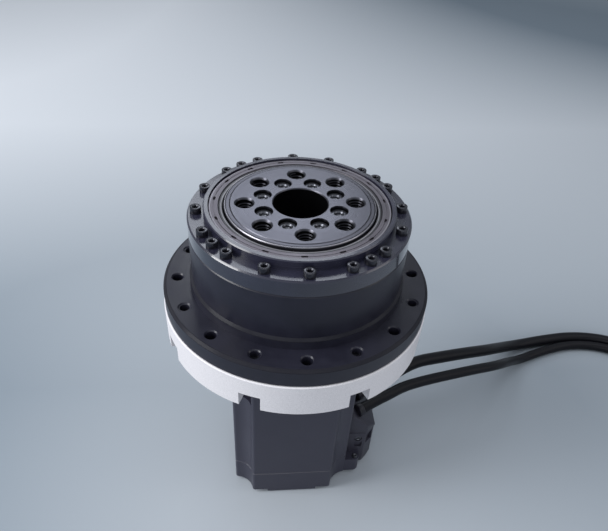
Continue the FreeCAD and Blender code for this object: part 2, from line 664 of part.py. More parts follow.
def adapter_screws():
    screw = socket_screw(M4, ADAPTER_SCREW_L, FLANGE_PCD / 2, 0, ADAPTER_Z + POCKET_DEPTH, -1)
    return at_angles(screw, pocket_angles())


def motor_mount_screws():
    return at_angles(socket_screw(M5, MOTOR_SCREW_L, MOTOR_PCD / 2, 0, FRONT_Z, -1), evenly(4, 45))


def input_seal():
    z1 = ADAPTER_Z + ADAPTER_FLOOR_T
    z0 = z1 - INPUT_SEAL_T
    r_out, r_lip = INPUT_SEAL_D / 2 - FIT, SHAFT_D / 2 + RUN / 2
    outline = [(r_out, z0), (r_out, z1), (r_out - 1.5, z1), (r_out - 2.2, z0 + 2.0),
               (r_lip + 1.6, z0 + 2.6), (r_lip, z0 + 1.6), (r_lip + 1.0, z0)]
    return revolve(outline)


# ---------------------------------------------------------------- reducer housing
def flange_housing():
    body_r, collar_r, flange_r = BODY_D / 2, BODY_D / 2 + COLLAR_STEP, FLANGE_D / 2
    z_step = FLANGE_TOP + COLLAR_H
    spigot_r = ADAPTER_HOLLOW_D / 2 - FIT
    seat_r, shoulder_r = SPLINE_OD / 2, SPLINE_SHOULDER_D / 2
    outline = [(shoulder_r, HOUSING_Z - SPIGOT_H), (spigot_r, HOUSING_Z - SPIGOT_H), (spigot_r, HOUSING_Z),
               (flange_r - 0.5, HOUSING_Z), (flange_r, HOUSING_Z + 0.5), (flange_r, FLANGE_TOP - 1.0),
               (flange_r - 1.0, FLANGE_TOP), (collar_r, FLANGE_TOP), (collar_r, z_step - COLLAR_STEP),
               (body_r, z_step), (body_r, HOUSING_TOP), (seat_r, HOUSING_TOP), (seat_r, SPLINE_Z),
               (shoulder_r, SPLINE_Z)]
    body = revolve(outline)
    hole = cyl(FLANGE_HOLE_D / 2, HOUSING_Z - 1, FLANGE_TOP + 1, FLANGE_PCD / 2)
    tapped = cyl(M4[0] / 2, HOUSING_Z - 1, FLANGE_TOP + 1, FLANGE_PCD / 2)
    rim_z, rim_r = FLANGE_TOP - FLANGE_HOLE_CHAMFER, FLANGE_HOLE_D / 2
    rim = cone(rim_r, rim_r + FLANGE_HOLE_CHAMFER + 0.1, rim_z, FLANGE_TOP + 0.1, FLANGE_PCD / 2)
    tools = at_angles(hole.fuse(rim), mount_angles()) + at_angles(tapped.fuse(rim), pocket_angles())
    thread = cyl(M25[0] / 2, HOUSING_TOP - 9.0, HOUSING_TOP + 1, RING_SCREWS_PCD / 2)
    tools += at_angles(thread, RING_SCREW_ANGLES)
    tools += screw_holes(M25, SPLINE_SCREW_PCD, evenly(SPLINE_SCREWS), HOUSING_Z + 0.3, SPLINE_Z + 1, 0)
    return cut_all(body, tools)


# ---------------------------------------------------------------- strain wave gear
def tooth_points(count, base_r, tip, root, bend):
    """Outline of a toothed circle. tip and root are heights over base_r, outwards. bend is the cam's."""
    pitch = 2 * math.pi * base_r / count
    lean = math.tan(math.radians(FLANK_ANGLE))
    half_mid = pitch * TOOTH_SHARE / 2
    half_tip = half_mid - abs(tip) * lean
    half_root = half_mid + abs(root) * lean
    points = []
    for i in range(count):
        middle = 2 * math.pi * i / count
        for half, height in ((-half_root, root), (-half_tip, tip), (half_tip, tip), (half_root, root)):
            angle = middle + half / base_r
            r = base_r + height + bend * math.cos(2 * angle)
            angle -= bend * math.sin(2 * angle) / (2 * base_r)
            points.append(V(r * math.cos(angle), r * math.sin(angle), 0))
    return points


def circular_spline():
    pitch_r = MODULE * SPLINE_TEETH / 2
    half_step = 180.0 / SPLINE_TEETH
    points = tooth_points(SPLINE_TEETH, pitch_r, -ADDENDUM, DEDENDUM, 0.0)
    bore = prism(points, SPLINE_Z - 1, SPLINE_TOP + 1)
    ring = cyl(SPLINE_OD / 2 - FIT, SPLINE_Z, SPLINE_TOP).cut(turned(bore, half_step))
    holes = screw_holes(M25, SPLINE_SCREW_PCD, evenly(SPLINE_SCREWS), SPLINE_Z - 1, SPLINE_TOP + 1)
    return cut_all(ring, holes)


def spline_screws():
    screw = socket_screw(M25, SPLINE_W + SPLINE_SEAT_H - 0.5, SPLINE_SCREW_PCD / 2, 0, SPLINE_TOP)
    return at_angles(screw, evenly(SPLINE_SCREWS))


def flexspline():
    """A thin cup: the cam bends its toothed mouth to an oval, and its bottom stays round."""
    points = tooth_points(FLEX_TEETH, PITCH_D / 2, ADDENDUM, FIT - DEDENDUM, BEND)
    teeth = prism(points, SPLINE_Z, SPLINE_TOP)
    wall_top = DIAPHRAGM_Z + DIAPHRAGM_T
    round_wire = Part.Wire(Part.makeCircle(FLEX_ROOT_R, V(0, 0, wall_top), Z))
    outside = Part.makeLoft([ellipse_wire(FLEX_ROOT_R, SPLINE_TOP), round_wire], True, True)
    inner_wire = Part.Wire(Part.makeCircle(FLEX_BORE_R, V(0, 0, DIAPHRAGM_Z), Z))
    inside = Part.makeLoft([ellipse_wire(FLEX_BORE_R, SPLINE_TOP), inner_wire], True, True)
    cup = teeth.cut(oval_plug(FLEX_BORE_R, SPLINE_Z - 1, SPLINE_TOP + 1)).fuse(outside.cut(inside))
    cup = cup.fuse(cyl(BOSS_D / 2, BOSS_Z, BOSS_TOP)).removeSplitter()
    tools = [cyl(BOSS_BORE_D / 2, BOSS_Z - 1, BOSS_TOP + 1)]
    tools += screw_holes(M4, INNER_PCD, evenly(INNER_SCREWS, INNER_START), BOSS_Z - 1, BOSS_TOP + 1)
    return cut_all(cup, tools)


def flexspline_clamp_ring():
    ring = tube(BOSS_D / 2, BOSS_BORE_D / 2 + 1.0, BOSS_Z - CLAMP_RING_T, BOSS_Z)
    return cut_all(ring, screw_holes(M4, INNER_PCD, evenly(INNER_SCREWS, INNER_START), 0, BOSS_Z + 1, 0.0))


def wave_bearing_outer_race():
    return oval_plug(RACE_OUT_R, RACE_Z, RACE_Z + RACE_W).cut(oval_plug(RACE_IN_R, 0, OUTPUT_Z))


def wave_bearing_inner_race():
    return oval_plug(CAM_RACE_R, RACE_Z, RACE_Z + RACE_W).cut(oval_plug(CAM_R + FIT, 0, OUTPUT_Z))


def wave_bearing_balls():
    balls = []
    for i in range(WAVE_BALLS):
        angle = 2 * math.pi * (i + 0.5) / WAVE_BALLS
        centre = V((BALL_R + BEND) * math.cos(angle), (BALL_R - BEND) * math.sin(angle), RACE_Z + RACE_W / 2)
        balls.append(Part.makeSphere(WAVE_BALL_D / 2, centre))
    return balls


def wave_generator_cam():
    cam = oval_plug(CAM_R, CAM_Z, CAM_Z + CAM_W)
    cam = cam.fuse(cyl(CAM_HUB_D / 2, CAM_Z - CAM_HUB_H, CAM_Z + 1)).removeSplitter()
    window = cyl(3.0, 0, OUTPUT_Z, (CAM_R + CAM_HUB_D / 2) / 2)
    cam = cut_all(cam, around(window, 6))
    cam = cam.cut(cyl(SHAFT_D / 2 + FIT, 0, OUTPUT_Z))
    slot = block(0, SHAFT_D / 2 + 2.3, -KEY_W / 2 - FIT, KEY_W / 2 + FIT, 0, OUTPUT_Z)
    return cam.cut(slot)


def cam_retainer():
    """The washer and screw on the shaft's end that hold the cam down."""
    z0 = max(SHAFT_TOP, CAM_Z + CAM_W)
    washer = cyl(SHAFT_D / 2 + 3.0, z0, z0 + CAM_WASHER_T).cut(cyl(M5[0] / 2 + 0.1, 0, OUTPUT_Z))
    return [washer, socket_screw(M5, CAM_SCREW_L, 0, 0, z0 + CAM_WASHER_T)]


# ---------------------------------------------------------------- crossed roller bearing
def bearing_outer_lower():
    r_out, r_in, corner = BODY_D / 2, SHOULDER_OUT_R, ROLLER_R + ROLLER_CORNER + FIT
    depth = corner - r_in
    outline = [(r_in, HOUSING_TOP), (r_out, HOUSING_TOP), (r_out, BEARING_Z - 0.4), (r_out - 0.4, BEARING_Z),
               (corner, BEARING_Z), (r_in, BEARING_Z - depth)]
    return cut_all(revolve(outline), ring_screw_clearance())


def bearing_outer_upper():
    r_out, r_in, corner = BODY_D / 2, SHOULDER_OUT_R, ROLLER_R + ROLLER_CORNER + FIT
    depth = corner - r_in
    rim_z, seat_r, seat_z = LEDGE_Z + RIM_RISE, RETAINER_OD / 2, LEDGE_Z - 1.0
    outline = [(corner, BEARING_Z), (r_out - 0.4, BEARING_Z), (r_out, BEARING_Z + 0.4),
               (r_out, LEDGE_Z - 0.6),
               (r_out - 0.6, LEDGE_Z), (RIM_OD / 2, LEDGE_Z), (RIM_OD / 2, rim_z - 0.4),
               (RIM_OD / 2 - 0.4, rim_z), (seat_r, rim_z), (seat_r, seat_z), (r_in, seat_z),
               (r_in, BEARING_Z + depth)]
    return cut_all(revolve(outline), ring_screw_clearance())


def ring_screw_clearance():
    return screw_holes(M25, RING_SCREWS_PCD, RING_SCREW_ANGLES, HOUSING_TOP - 1, LEDGE_Z + 1)


def ring_screws():
    return at_angles(socket_screw(M25, RING_SCREW_L, RING_SCREWS_PCD / 2, 0, LEDGE_Z), RING_SCREW_ANGLES)


def seal_retainer():
    r_out, r_in = RETAINER_OD / 2 - FIT, SEAL_OD / 2
    top = RETAINER_Z
    mid, line = NOTCH_PCD / 2, GROOVE_W / 2
    outline = [(r_in, LEDGE_Z - 1.0), (r_out, LEDGE_Z - 1.0), (r_out, top - 0.3), (r_out - 0.3, top),
               (mid + line, top), (mid + line, top - GROOVE_W), (mid - line, top - GROOVE_W),
               (mid - line, top),
               (r_in + 0.3, top), (r_in, top - 0.3)]
    ring = revolve(outline)
    along, across, deep = NOTCH_SIZE
    notch = block(mid - across / 2, mid + across / 2, -along / 2, along / 2, top - deep, top + 1)
    return cut_all(ring, around(notch, NOTCHES, NOTCH_START))


def output_seal():
    r_out, r_lip, top = SEAL_OD / 2 - FIT, LAND_D / 2 + RUN / 2, RETAINER_Z
    outline = [(r_out, LEDGE_Z - 1.0), (r_out, top - 0.4), (r_lip + 0.5, top - 0.4), (r_lip, top - 1.0),
               (r_lip + 0.4, top - 1.8), (r_lip + 0.9, LEDGE_Z - 1.0)]
    return revolve(outline)


def bearing_inner_ring():
    r_in, r_out = OUTPUT_BODY_D / 2 + FIT, SHOULDER_IN_R
    corner = ROLLER_R - ROLLER_CORNER - FIT
    depth = r_out - corner
    top, lip_z, step_z = OUTPUT_Z - 0.2, OUTPUT_Z - LIP_T, LEDGE_Z - 1.0 - RUN * 2
    outline = [(r_in, BOSS_TOP), (r_out, BOSS_TOP), (r_out, BEARING_Z - depth), (corner, BEARING_Z),
               (r_out, BEARING_Z + depth), (r_out, step_z), (LAND_D / 2, step_z), (LAND_D / 2, top - 0.3),
               (LAND_D / 2 - 0.3, top), (LIP_D / 2 + FIT, top), (LIP_D / 2 + FIT, lip_z), (r_in, lip_z)]
    return revolve(outline)


def crossed_rollers():
    """Rollers in a ring, each turned a quarter turn against the one before."""
    rollers = []
    half = (ROLLER_D - 2 * FIT) / 2
    for i in range(ROLLERS):
        tilt = 45.0 if i % 2 else -45.0
        roller = Part.makeCylinder(half, 2 * half, V(0, 0, -half), Z)
        roller.rotate(ORIGIN, V(0, 1, 0), tilt)
        roller.translate(V(ROLLER_R, 0, BEARING_Z))
        rollers.append(turned(roller, 360.0 * i / ROLLERS))
    return rollers


def roller_spacers():
    step = 360.0 / ROLLERS
    taken = math.degrees(ROLLER_D / ROLLER_R)
    span = step - taken - 1.0
    side = ROLLER_CORNER - 0.8
    outline = [(ROLLER_R - side, BEARING_Z), (ROLLER_R, BEARING_Z - side), (ROLLER_R + side, BEARING_Z),
               (ROLLER_R, BEARING_Z + side)]
    return around(revolve(outline, span), ROLLERS, (step - span) / 2)


# ---------------------------------------------------------------- output flange
def output_flange():
    body_r, lip_r, lip_z = OUTPUT_BODY_D / 2, LIP_D / 2, OUTPUT_Z - LIP_T
    outline = [(0, BOSS_TOP), (body_r, BOSS_TOP), (body_r, lip_z), (lip_r, lip_z), (lip_r, OUTPUT_Z - 0.4),
               (lip_r - 0.4, OUTPUT_Z), (0, OUTPUT_Z)]
    flange = revolve(outline)
    bore_r = BORE_D / 2
    tools = [cyl(bore_r, BOSS_TOP - 1, OUTPUT_Z + 1),
             cone(bore_r, bore_r + BORE_CHAMFER, OUTPUT_Z - BORE_CHAMFER, OUTPUT_Z)]
    hole_r, x = OUTPUT_HOLE_D / 2, OUTPUT_PCD / 2
    hole = cyl(hole_r, OUTPUT_Z - OUTPUT_HOLE_DEPTH, OUTPUT_Z + 1, x)
    rim_r = hole_r + OUTPUT_HOLE_CHAMFER
    hole = hole.fuse(cone(hole_r, rim_r, OUTPUT_Z - OUTPUT_HOLE_CHAMFER, OUTPUT_Z, x))
    tools += around(hole, OUTPUT_HOLES)
    sunk = cyl(M4[1] / 2 + 0.2, COUNTERBORE_Z, OUTPUT_Z + 1, INNER_PCD / 2)
    sunk = sunk.fuse(cyl(M4[0] / 2 + 0.1, BOSS_TOP - 1, COUNTERBORE_Z, INNER_PCD / 2))
    return cut_all(flange, tools + around(sunk, INNER_SCREWS, INNER_START))


def output_screws():
    screw = socket_screw(M4, OUTPUT_SCREW_L, INNER_PCD / 2, 0, COUNTERBORE_Z)
    return at_angles(screw, evenly(INNER_SCREWS, INNER_START))


def bore_cap():
    return cyl(BOSS_BORE_D / 2 - FIT, BOSS_TOP - BORE_CAP_T, BOSS_TOP)


# ---------------------------------------------------------------- leads
# The route of each lead, from its gland to its plug. x is counted from the connector housing's face.
def from_housing(points):
    return [(BOX_X + x, y, z) for x, y, z in points]


POWER_LIE = POWER_D / 2
ENCODER_LIE = ENCODER_D / 2
POWER_ROUTE = from_housing([
    (1.9, 8.0, GLAND_H), (8.8, 11.7, GLAND_H), (18.4, 18.9, 40.9), (31.0, 26.9, 39.6),
    (47.6, 33.0, 36.1), (65.7, 40.2, 31.5), (84.3, 49.3, 24.1), (100.3, 61.7, 13.2),
    (118.3, 72.5, 4.2), (140.8, 77.5, POWER_LIE), (162.6, 80.2, POWER_LIE), (184.4, 76.8, POWER_LIE),
    (201.8, 67.0, POWER_LIE), (216.2, 50.0, 4.0), (224.5, 29.5, POWER_PLUG[2] / 2),
    (225.6, 8.5, POWER_PLUG[2] / 2),
])
ENCODER_ROUTE = from_housing([
    (1.9, -2.6, GLAND_H), (8.8, 1.1, GLAND_H), (19.1, 7.3, 40.4), (32.7, 13.1, 38.2),
    (49.4, 19.3, 35.3), (67.6, 26.4, 31.4), (86.2, 34.4, 25.8), (101.3, 46.7, 15.5),
    (115.6, 58.6, 4.0), (135.8, 67.2, ENCODER_LIE), (157.1, 72.9, ENCODER_LIE), (178.0, 71.0, ENCODER_LIE),
    (195.8, 61.9, ENCODER_LIE), (206.0, 45.5, 3.6), (209.4, 26.5, ENCODER_PLUG[2] / 2),
    (210.0, 8.5, ENCODER_PLUG[2] / 2),
])
LEADS = [(POWER_ROUTE, POWER_D), (ENCODER_ROUTE, ENCODER_D)]


def lead_path(route, name):
    """Straight runs joined by tangent arcs, one at each inner point of the route."""
    points = [V(*p) for p in route]
    edges, radii = [], []
    start = points[0]
    for before, corner, after in zip(points, points[1:], points[2:]):
        into, out = (corner - before).normalize(), (after - corner).normalize()
        half_turn = into.getAngle(out) / 2
        reach = 0.45 * min(corner.distanceToPoint(before), corner.distanceToPoint(after))
        radius = reach / math.tan(half_turn)
        a, b = corner - into * reach, corner + out * reach
        to_centre = (out - into).normalize()
        middle = corner + to_centre * (radius / math.cos(half_turn) - radius)
        edges.append(Part.LineSegment(start, a).toShape())
        edges.append(Part.Arc(a, middle, b).toShape())
        radii.append(radius)
        start = b
    edges.append(Part.LineSegment(start, points[-1]).toShape())
    wire = Part.Wire(edges)
    print(name, "length %.1f, radii" % wire.Length, " ".join("%.0f" % r for r in radii))
    return wire


def lead(route, d, name):
    wire = lead_path(route, name)
    start, way = V(*route[0]), V(*route[1]) - V(*route[0])
    circle = Part.Wire(Part.makeCircle(d / 2, start, way))
    tube_solid = wire.makePipeShell([circle], True, False)
    expected = wire.Length * math.pi * d ** 2 / 4
    print(name, "volume %.1f, expected %.1f, valid %s" % (tube_solid.Volume, expected, tube_solid.isValid()))
    return tube_solid


def plug(route, size):
    """A rectangular plug that lies on the surface at the route's end."""
    long, wide, high = size
    end, before = V(*route[-1]), V(*route[-2])
    body = block(0, long, -wide / 2, wide / 2, 0, high)
    body = body.makeFillet(1.5, [e for e in body.Edges if all(v.X < 1e-6 for v in e.Vertexes)])
    ribs = [block(long * 0.3 + 4 * i, long * 0.3 + 4 * i + 1.6, side * wide / 2 - 0.5, side * wide / 2 + 0.5,
                  1.5, high - 1.5) for i in range(3) for side in (-1, 1)]
    body = cut_all(body, ribs)
    mouth = block(long - 8, long + 1, -wide / 2 + 1.5, wide / 2 - 1.5, 1.5, high - 1.5)
    body = body.cut(mouth)
    heading = math.degrees(math.atan2(end.y - before.y, end.x - before.x))
    body.rotate(ORIGIN, Z, heading)
    body.translate(V(end.x, end.y, 0))
    return body


# ---------------------------------------------------------------- the pieces
PIECES = {
    "rear_plate": rear_plate,
    "motor_rear_cover": motor_rear_cover,
    "cover_screws": cover_screws,
    "motor_frame": motor_frame,
    "motor_front_flange": motor_front_flange,
    "motor_mount_screws": motor_mount_screws,
    "stator_core": stator_core,
    "stator_windings": stator_windings,
    "front_bearing_outer_ring": lambda: ball_ring(FRONT_BEARING, JOURNAL_D, FRONT_BEARING_Z, "outer"),
    "rear_bearing_outer_ring": lambda: ball_ring(REAR_BEARING, REAR_JOURNAL_D, REAR_BEARING_Z, "outer"),
    "front_bearing_inner_ring": lambda: ball_ring(FRONT_BEARING, JOURNAL_D, FRONT_BEARING_Z, "inner"),
    "rear_bearing_inner_ring": lambda: ball_ring(REAR_BEARING, REAR_JOURNAL_D, REAR_BEARING_Z, "inner"),
    "front_bearing_balls": lambda: ball_set(FRONT_BEARING, JOURNAL_D, FRONT_BEARING_Z),
    "rear_bearing_balls": lambda: ball_set(REAR_BEARING, REAR_JOURNAL_D, REAR_BEARING_Z),
    "motor_shaft": motor_shaft,
    "shaft_key": key_block,
    "rotor_core": rotor_core,
    "rotor_magnets": rotor_magnets,
    "encoder_disc": encoder_disc,
    "encoder_board": encoder_board,
    "connector_box": connector_box,
    "cable_exit_block": cable_exit_block,
    "box_screws": box_screws,
    "cable_glands": cable_glands,
    "adapter_ring": adapter_ring,
    "adapter_screws": adapter_screws,
    "input_seal": input_seal,
    "flange_housing": flange_housing,
    "circular_spline": circular_spline,
    "spline_screws": spline_screws,
    "flexspline": flexspline,
    "flexspline_clamp_ring": flexspline_clamp_ring,
    "wave_bearing_outer_race": wave_bearing_outer_race,
    "wave_bearing_inner_race": wave_bearing_inner_race,
    "wave_bearing_balls": wave_bearing_balls,
    "wave_generator_cam": wave_generator_cam,
    "cam_retainer": cam_retainer,
    "bearing_outer_lower": bearing_outer_lower,
    "bearing_outer_upper": bearing_outer_upper,
    "bearing_inner_ring": bearing_inner_ring,
    "crossed_rollers": crossed_rollers,
    "roller_spacers": roller_spacers,
    "ring_screws": ring_screws,
    "seal_retainer": seal_retainer,
    "output_seal": output_seal,
    "output_flange": output_flange,
    "output_screws": output_screws,
    "bore_cap": bore_cap,
    "power_cable": lambda: lead(POWER_ROUTE, POWER_D, "power_cable"),
    "encoder_cable": lambda: lead(ENCODER_ROUTE, ENCODER_D, "encoder_cable"),
    "power_plug": lambda: plug(POWER_ROUTE, POWER_PLUG),
    "encoder_plug": lambda: plug(ENCODER_ROUTE, ENCODER_PLUG),
}

os.makedirs("parts", exist_ok=True)
for node, make in PIECES.items():
    made = make()
    shape = Part.makeCompound(made) if isinstance(made, list) else made
    shape.exportStep("parts/%s.step" % node)
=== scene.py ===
import json
import math
import bpy
from mathutils import Matrix, Vector


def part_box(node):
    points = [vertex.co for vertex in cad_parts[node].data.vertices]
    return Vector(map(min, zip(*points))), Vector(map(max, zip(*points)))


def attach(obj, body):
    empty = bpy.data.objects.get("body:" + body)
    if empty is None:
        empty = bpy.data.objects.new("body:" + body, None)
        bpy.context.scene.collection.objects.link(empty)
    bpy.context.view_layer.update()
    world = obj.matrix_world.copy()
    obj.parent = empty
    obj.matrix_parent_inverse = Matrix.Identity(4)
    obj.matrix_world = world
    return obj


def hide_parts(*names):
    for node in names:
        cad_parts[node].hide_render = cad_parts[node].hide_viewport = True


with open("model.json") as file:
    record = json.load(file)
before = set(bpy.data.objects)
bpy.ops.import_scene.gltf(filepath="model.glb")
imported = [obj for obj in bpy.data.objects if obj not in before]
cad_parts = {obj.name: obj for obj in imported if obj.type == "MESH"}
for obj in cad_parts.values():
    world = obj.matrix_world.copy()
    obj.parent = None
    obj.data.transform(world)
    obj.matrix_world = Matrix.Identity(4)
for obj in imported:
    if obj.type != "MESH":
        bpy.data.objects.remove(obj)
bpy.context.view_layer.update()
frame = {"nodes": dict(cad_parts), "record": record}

# Sizes are in millimetres, and MM makes them metres.
MM = 0.001

nodes = frame["nodes"]
scene = bpy.context.scene


# ---------------------------------------------------------------- shader maths
class Value:
    """A socket in a material's node tree. Python's operators on it add Math nodes."""

    def __init__(self, finish, socket):
        self.finish, self.socket = finish, socket

    def math(self, operation, *others, clamp=False):
        settings = {"operation": operation, "use_clamp": clamp}
        return self.finish.node("ShaderNodeMath", settings, self, *others)

    def __add__(self, other):
        return self.math("ADD", other)

    def __mul__(self, other):
        return self.math("MULTIPLY", other)

    def __sub__(self, other):
        return self.math("SUBTRACT", other)

    def __rsub__(self, other):
        return self.finish.node("ShaderNodeMath", {"operation": "SUBTRACT"}, other, self)

    def __pow__(self, other):
        return self.math("POWER", other)

    __radd__, __rmul__ = __add__, __mul__

    def clamped(self):
        return self.math("ADD", 0.0, clamp=True)


def span(x, y):
    """How far a point at x, y is from the axis."""
    return (x * x + y * y) ** 0.5


BAND_FADE = 0.07        # how softly a line or a band ends
CHAMFER_W = 1.3         # width and height of a band on a chamfer that is dulled and painted with shade


class Finish:
    """A material: a Principled shader and the nodes that vary it over the surface."""

    def __init__(self, name, color, roughness, metallic=0.0, **sockets):
        self.name, self.material = name, bpy.data.materials.new(name)
        self.material.use_nodes = True
        self.tree = self.material.node_tree
        self.shader = self.tree.nodes["Principled BSDF"]
        self.shader.inputs["Base Color"].default_value = (*color, 1.0)
        self.shader.inputs["Roughness"].default_value = roughness
        self.shader.inputs["Metallic"].default_value = metallic
        for socket, value in sockets.items():
            self.shader.inputs[socket.replace("_", " ")].default_value = value

    def node(self, kind, settings=None, *values, output=0, **named):
        """Adds one node: its settings first, then the values or links of its sockets, by place or by name."""
        made = self.tree.nodes.new(kind)
        for key, value in (settings or {}).items():
            setattr(made, key, value)
        by_name = [(key.replace("_", " "), value) for key, value in named.items()]
        for place, value in list(enumerate(values)) + by_name:
            self.feed(made.inputs[place], value)
        return Value(self, made.outputs[output])

    def feed(self, socket, value):
        if isinstance(value, Value):
            self.tree.links.new(value.socket, socket)
        else:
            socket.default_value = value

    def set(self, socket, value):
        self.feed(self.shader.inputs[socket], value)

    def place(self):
        return self.node("ShaderNodeTexCoord", output="Object")

    def coordinates(self):
        split = self.tree.nodes.new("ShaderNodeSeparateXYZ")
        self.feed(split.inputs[0], self.place())
        return [Value(self, out) for out in split.outputs]

    def height(self):
        return self.coordinates()[2]

    def noise(self, scale, detail, roughness=0.55):
        return self.node("ShaderNodeTexNoise", None, self.place(), Scale=scale, Detail=detail,
                         Roughness=roughness)

    def spread(self, value, low, high, to_low, to_high):
        """Maps a value's middle range to another one, held at its ends."""
        return self.node("ShaderNodeMapRange", {"clamp": True}, value, low, high, to_low, to_high)

    def mixed(self, share, dark, light):
        mix = self.tree.nodes.new("ShaderNodeMix")
        mix.data_type = "RGBA"
        self.feed(mix.inputs["Factor"], share)
        for socket, value in ((mix.inputs[6], dark), (mix.inputs[7], light)):
            self.feed(socket, value if isinstance(value, Value) else (*value, 1.0))
        return Value(self, mix.outputs[2])

    def bump(self, height, distance, strength):
        made = self.node("ShaderNodeBump", None, Strength=strength, Distance=distance, Height=height)
        self.set("Normal", made)

    def turned(self, lines_per_mm):
        """Fine rings about the axis of rotation, as a lathe leaves them."""
        x, y, z = self.coordinates()
        ring = self.node("ShaderNodeCombineXYZ", None, span(x, y), z, 0.0)
        return self.node("ShaderNodeTexNoise", None, ring, Scale=lines_per_mm / MM, Detail=2.0)

    def band(self, value, middle, width):
        """1 where a value lies in a band about its middle, 0 beside it."""
        away = (value - middle * MM).math("ABSOLUTE")
        return self.spread(away, width * 0.5 * MM, (width * 0.5 + BAND_FADE) * MM, 1.0, 0.0)

    def ring_line(self, radius, width):
        """1 on a line round the axis, 0 beside it."""
        x, y = self.coordinates()[:2]
        return self.band(span(x, y), radius, width)

    def chamfer_band(self, radius, top):
        """1 on a chamfer that runs round the axis just under a height, 0 elsewhere."""
        half = CHAMFER_W * 0.5
        return self.ring_line(radius - half, CHAMFER_W) * self.band(self.height(), top - half, CHAMFER_W)


# ---------------------------------------------------------------- kinds of finish
NOISE_RANGE = (0.3, 0.7)        # where nearly all values of a noise lie
PATCH_RANGE = (0.35, 0.65)      # a narrower range, which gives patches clearer edges
LATHE_RELIEF = 0.00002          # depth of the turned lines, in metres
LATHE_STRENGTH, GRAIN_STRENGTH = 0.35, 0.5
METAL_DULLNESS, LINE_DULLNESS, EDGE_DULLNESS = (0.8, 1.25), 0.04, 0.5
# The last share darkens the output steel as painted shade down its holes.
METAL_SHADES, FACE_SHADES, PAINTED_HOLE_SHADE = (0.82, 1.12), (0.85, 1.12), 0.10
SPRAY_DULLNESS, SPRAY_SHADES, CLOUD_SCALE = (0.88, 1.12), (0.88, 1.1), 35.0
HOLE_SHADE_LOW, HOLE_SHADE_HIGH = 0.8, 0.03   # depths below the output face where the painted shade in the holes is full and where it starts
RUB_LOW, RUB_HIGH = 0.5, 0.1    # depths below the ledge where the coat is whole and where it is rubbed
RUBBED_COAT = 0.3
# Painted shade that darkens the color of the housing's chamfers.
PAINTED_CHAMFER_SHADE = (0.006, 0.006, 0.011)
# Colors of fine painted lines: painted shade in gaps between parts, painted highlights on edges and on the
# seal's lip.
PAINTED_GAP_SHADE, PAINTED_EDGE_HIGHLIGHT, PAINTED_LIP_HIGHLIGHT = (0.006, 0.006, 0.009), (0.26, 0.25, 0.27), (0.16, 0.155, 0.17)


def shaded(color, *factors):
    """Darker or lighter copies of a color, one for each factor."""
    return [tuple(c * factor for c in color) for factor in factors]


def shares(roughness, factors):
    return [roughness * factor for factor in factors]


def worn_metal(name, color, roughness, metallic, grain, lines, coat=0.0, coat_roughness=0.12,
               specular=0.5, painted_light_lines=(), matt_shaded_edges=()):
    """A coated or ground metal: turned lines, patches that are a little duller than the rest, and where
    given, painted shade on chamfers and fine lines of painted highlight and painted shade.
    """
    made = Finish(name, color, roughness, metallic, Coat_Weight=coat, Coat_Roughness=coat_roughness,
                  Specular_IOR_Level=specular)
    patches = made.noise(grain, 4.0)
    rings = made.turned(lines)
    dullness = (made.spread(patches, *NOISE_RANGE, *shares(roughness, METAL_DULLNESS))
                + made.spread(rings, *NOISE_RANGE, -LINE_DULLNESS, LINE_DULLNESS))
    for radius, top in matt_shaded_edges:
        dullness = dullness + made.chamfer_band(radius, top) * EDGE_DULLNESS
    made.set("Roughness", dullness.clamped())
    surface = made.mixed(made.spread(patches, *PATCH_RANGE, 0.0, 1.0), *shaded(color, *METAL_SHADES))
    # Painted shade darkens the chamfers' color.
    for radius, top in matt_shaded_edges:
        surface = made.mixed(made.chamfer_band(radius, top), surface, PAINTED_CHAMFER_SHADE)
    # Fine lines of painted highlight and painted shade.
    for radius, width, line_color in painted_light_lines:
        surface = made.mixed(made.ring_line(radius, width), surface, line_color)
    made.set("Base Color", surface)
    made.bump(rings, LATHE_RELIEF, LATHE_STRENGTH)
    return made


def sprayed(name, color, roughness, grain_mm, relief, coat=0.0, metallic=0.0, specular=0.5):
    """A painted or anodised surface with a fine even grain."""
    made = Finish(name, color, roughness, metallic, Coat_Weight=coat, Coat_Roughness=0.2,
                  Specular_IOR_Level=specular)
    grain = made.noise(1.0 / (grain_mm * MM), 2.0, 0.6)
    clouds = made.noise(CLOUD_SCALE, 3.0)
    made.set("Roughness", made.spread(clouds, *NOISE_RANGE, *shares(roughness, SPRAY_DULLNESS)))
    surface = made.mixed(made.spread(grain, *NOISE_RANGE, 0.0, 1.0), *shaded(color, *SPRAY_SHADES))
    made.set("Base Color", surface)
    made.bump(grain, relief, GRAIN_STRENGTH)
    return made


def turned_face(name, color, roughness, metallic, grain, lines, top):
    """Ground steel whose holes have painted shade: its color darkens from just below the face down each hole.
    """
    made = worn_metal(name, color, roughness, metallic, grain, lines)
    # Painted shade: the color darkens from just below the face into each hole.
    unshaded = made.spread(made.height(), top - HOLE_SHADE_LOW * MM, top - HOLE_SHADE_HIGH * MM, 0.0, 1.0)
    patches = made.noise(grain, 4.0)
    bright = made.mixed(made.spread(patches, *PATCH_RANGE, 0.0, 1.0), *shaded(color, *FACE_SHADES))
    made.set("Base Color", made.mixed(unshaded, *shaded(color, PAINTED_HOLE_SHADE), bright))
    return made


def rubbed_ring(name, color, roughness, metallic, grain, lines, ledge):
    """Gloss black that handling has dulled on the ledge and the rim, above the ring's outer wall."""
    made = worn_metal(name, color, roughness, metallic, grain, lines, coat=1.0, coat_roughness=0.07)
    coat = made.spread(made.height(), ledge - RUB_LOW * MM, ledge - RUB_HIGH * MM, 1.0, RUBBED_COAT)
    made.set("Coat Weight", coat)
    return made


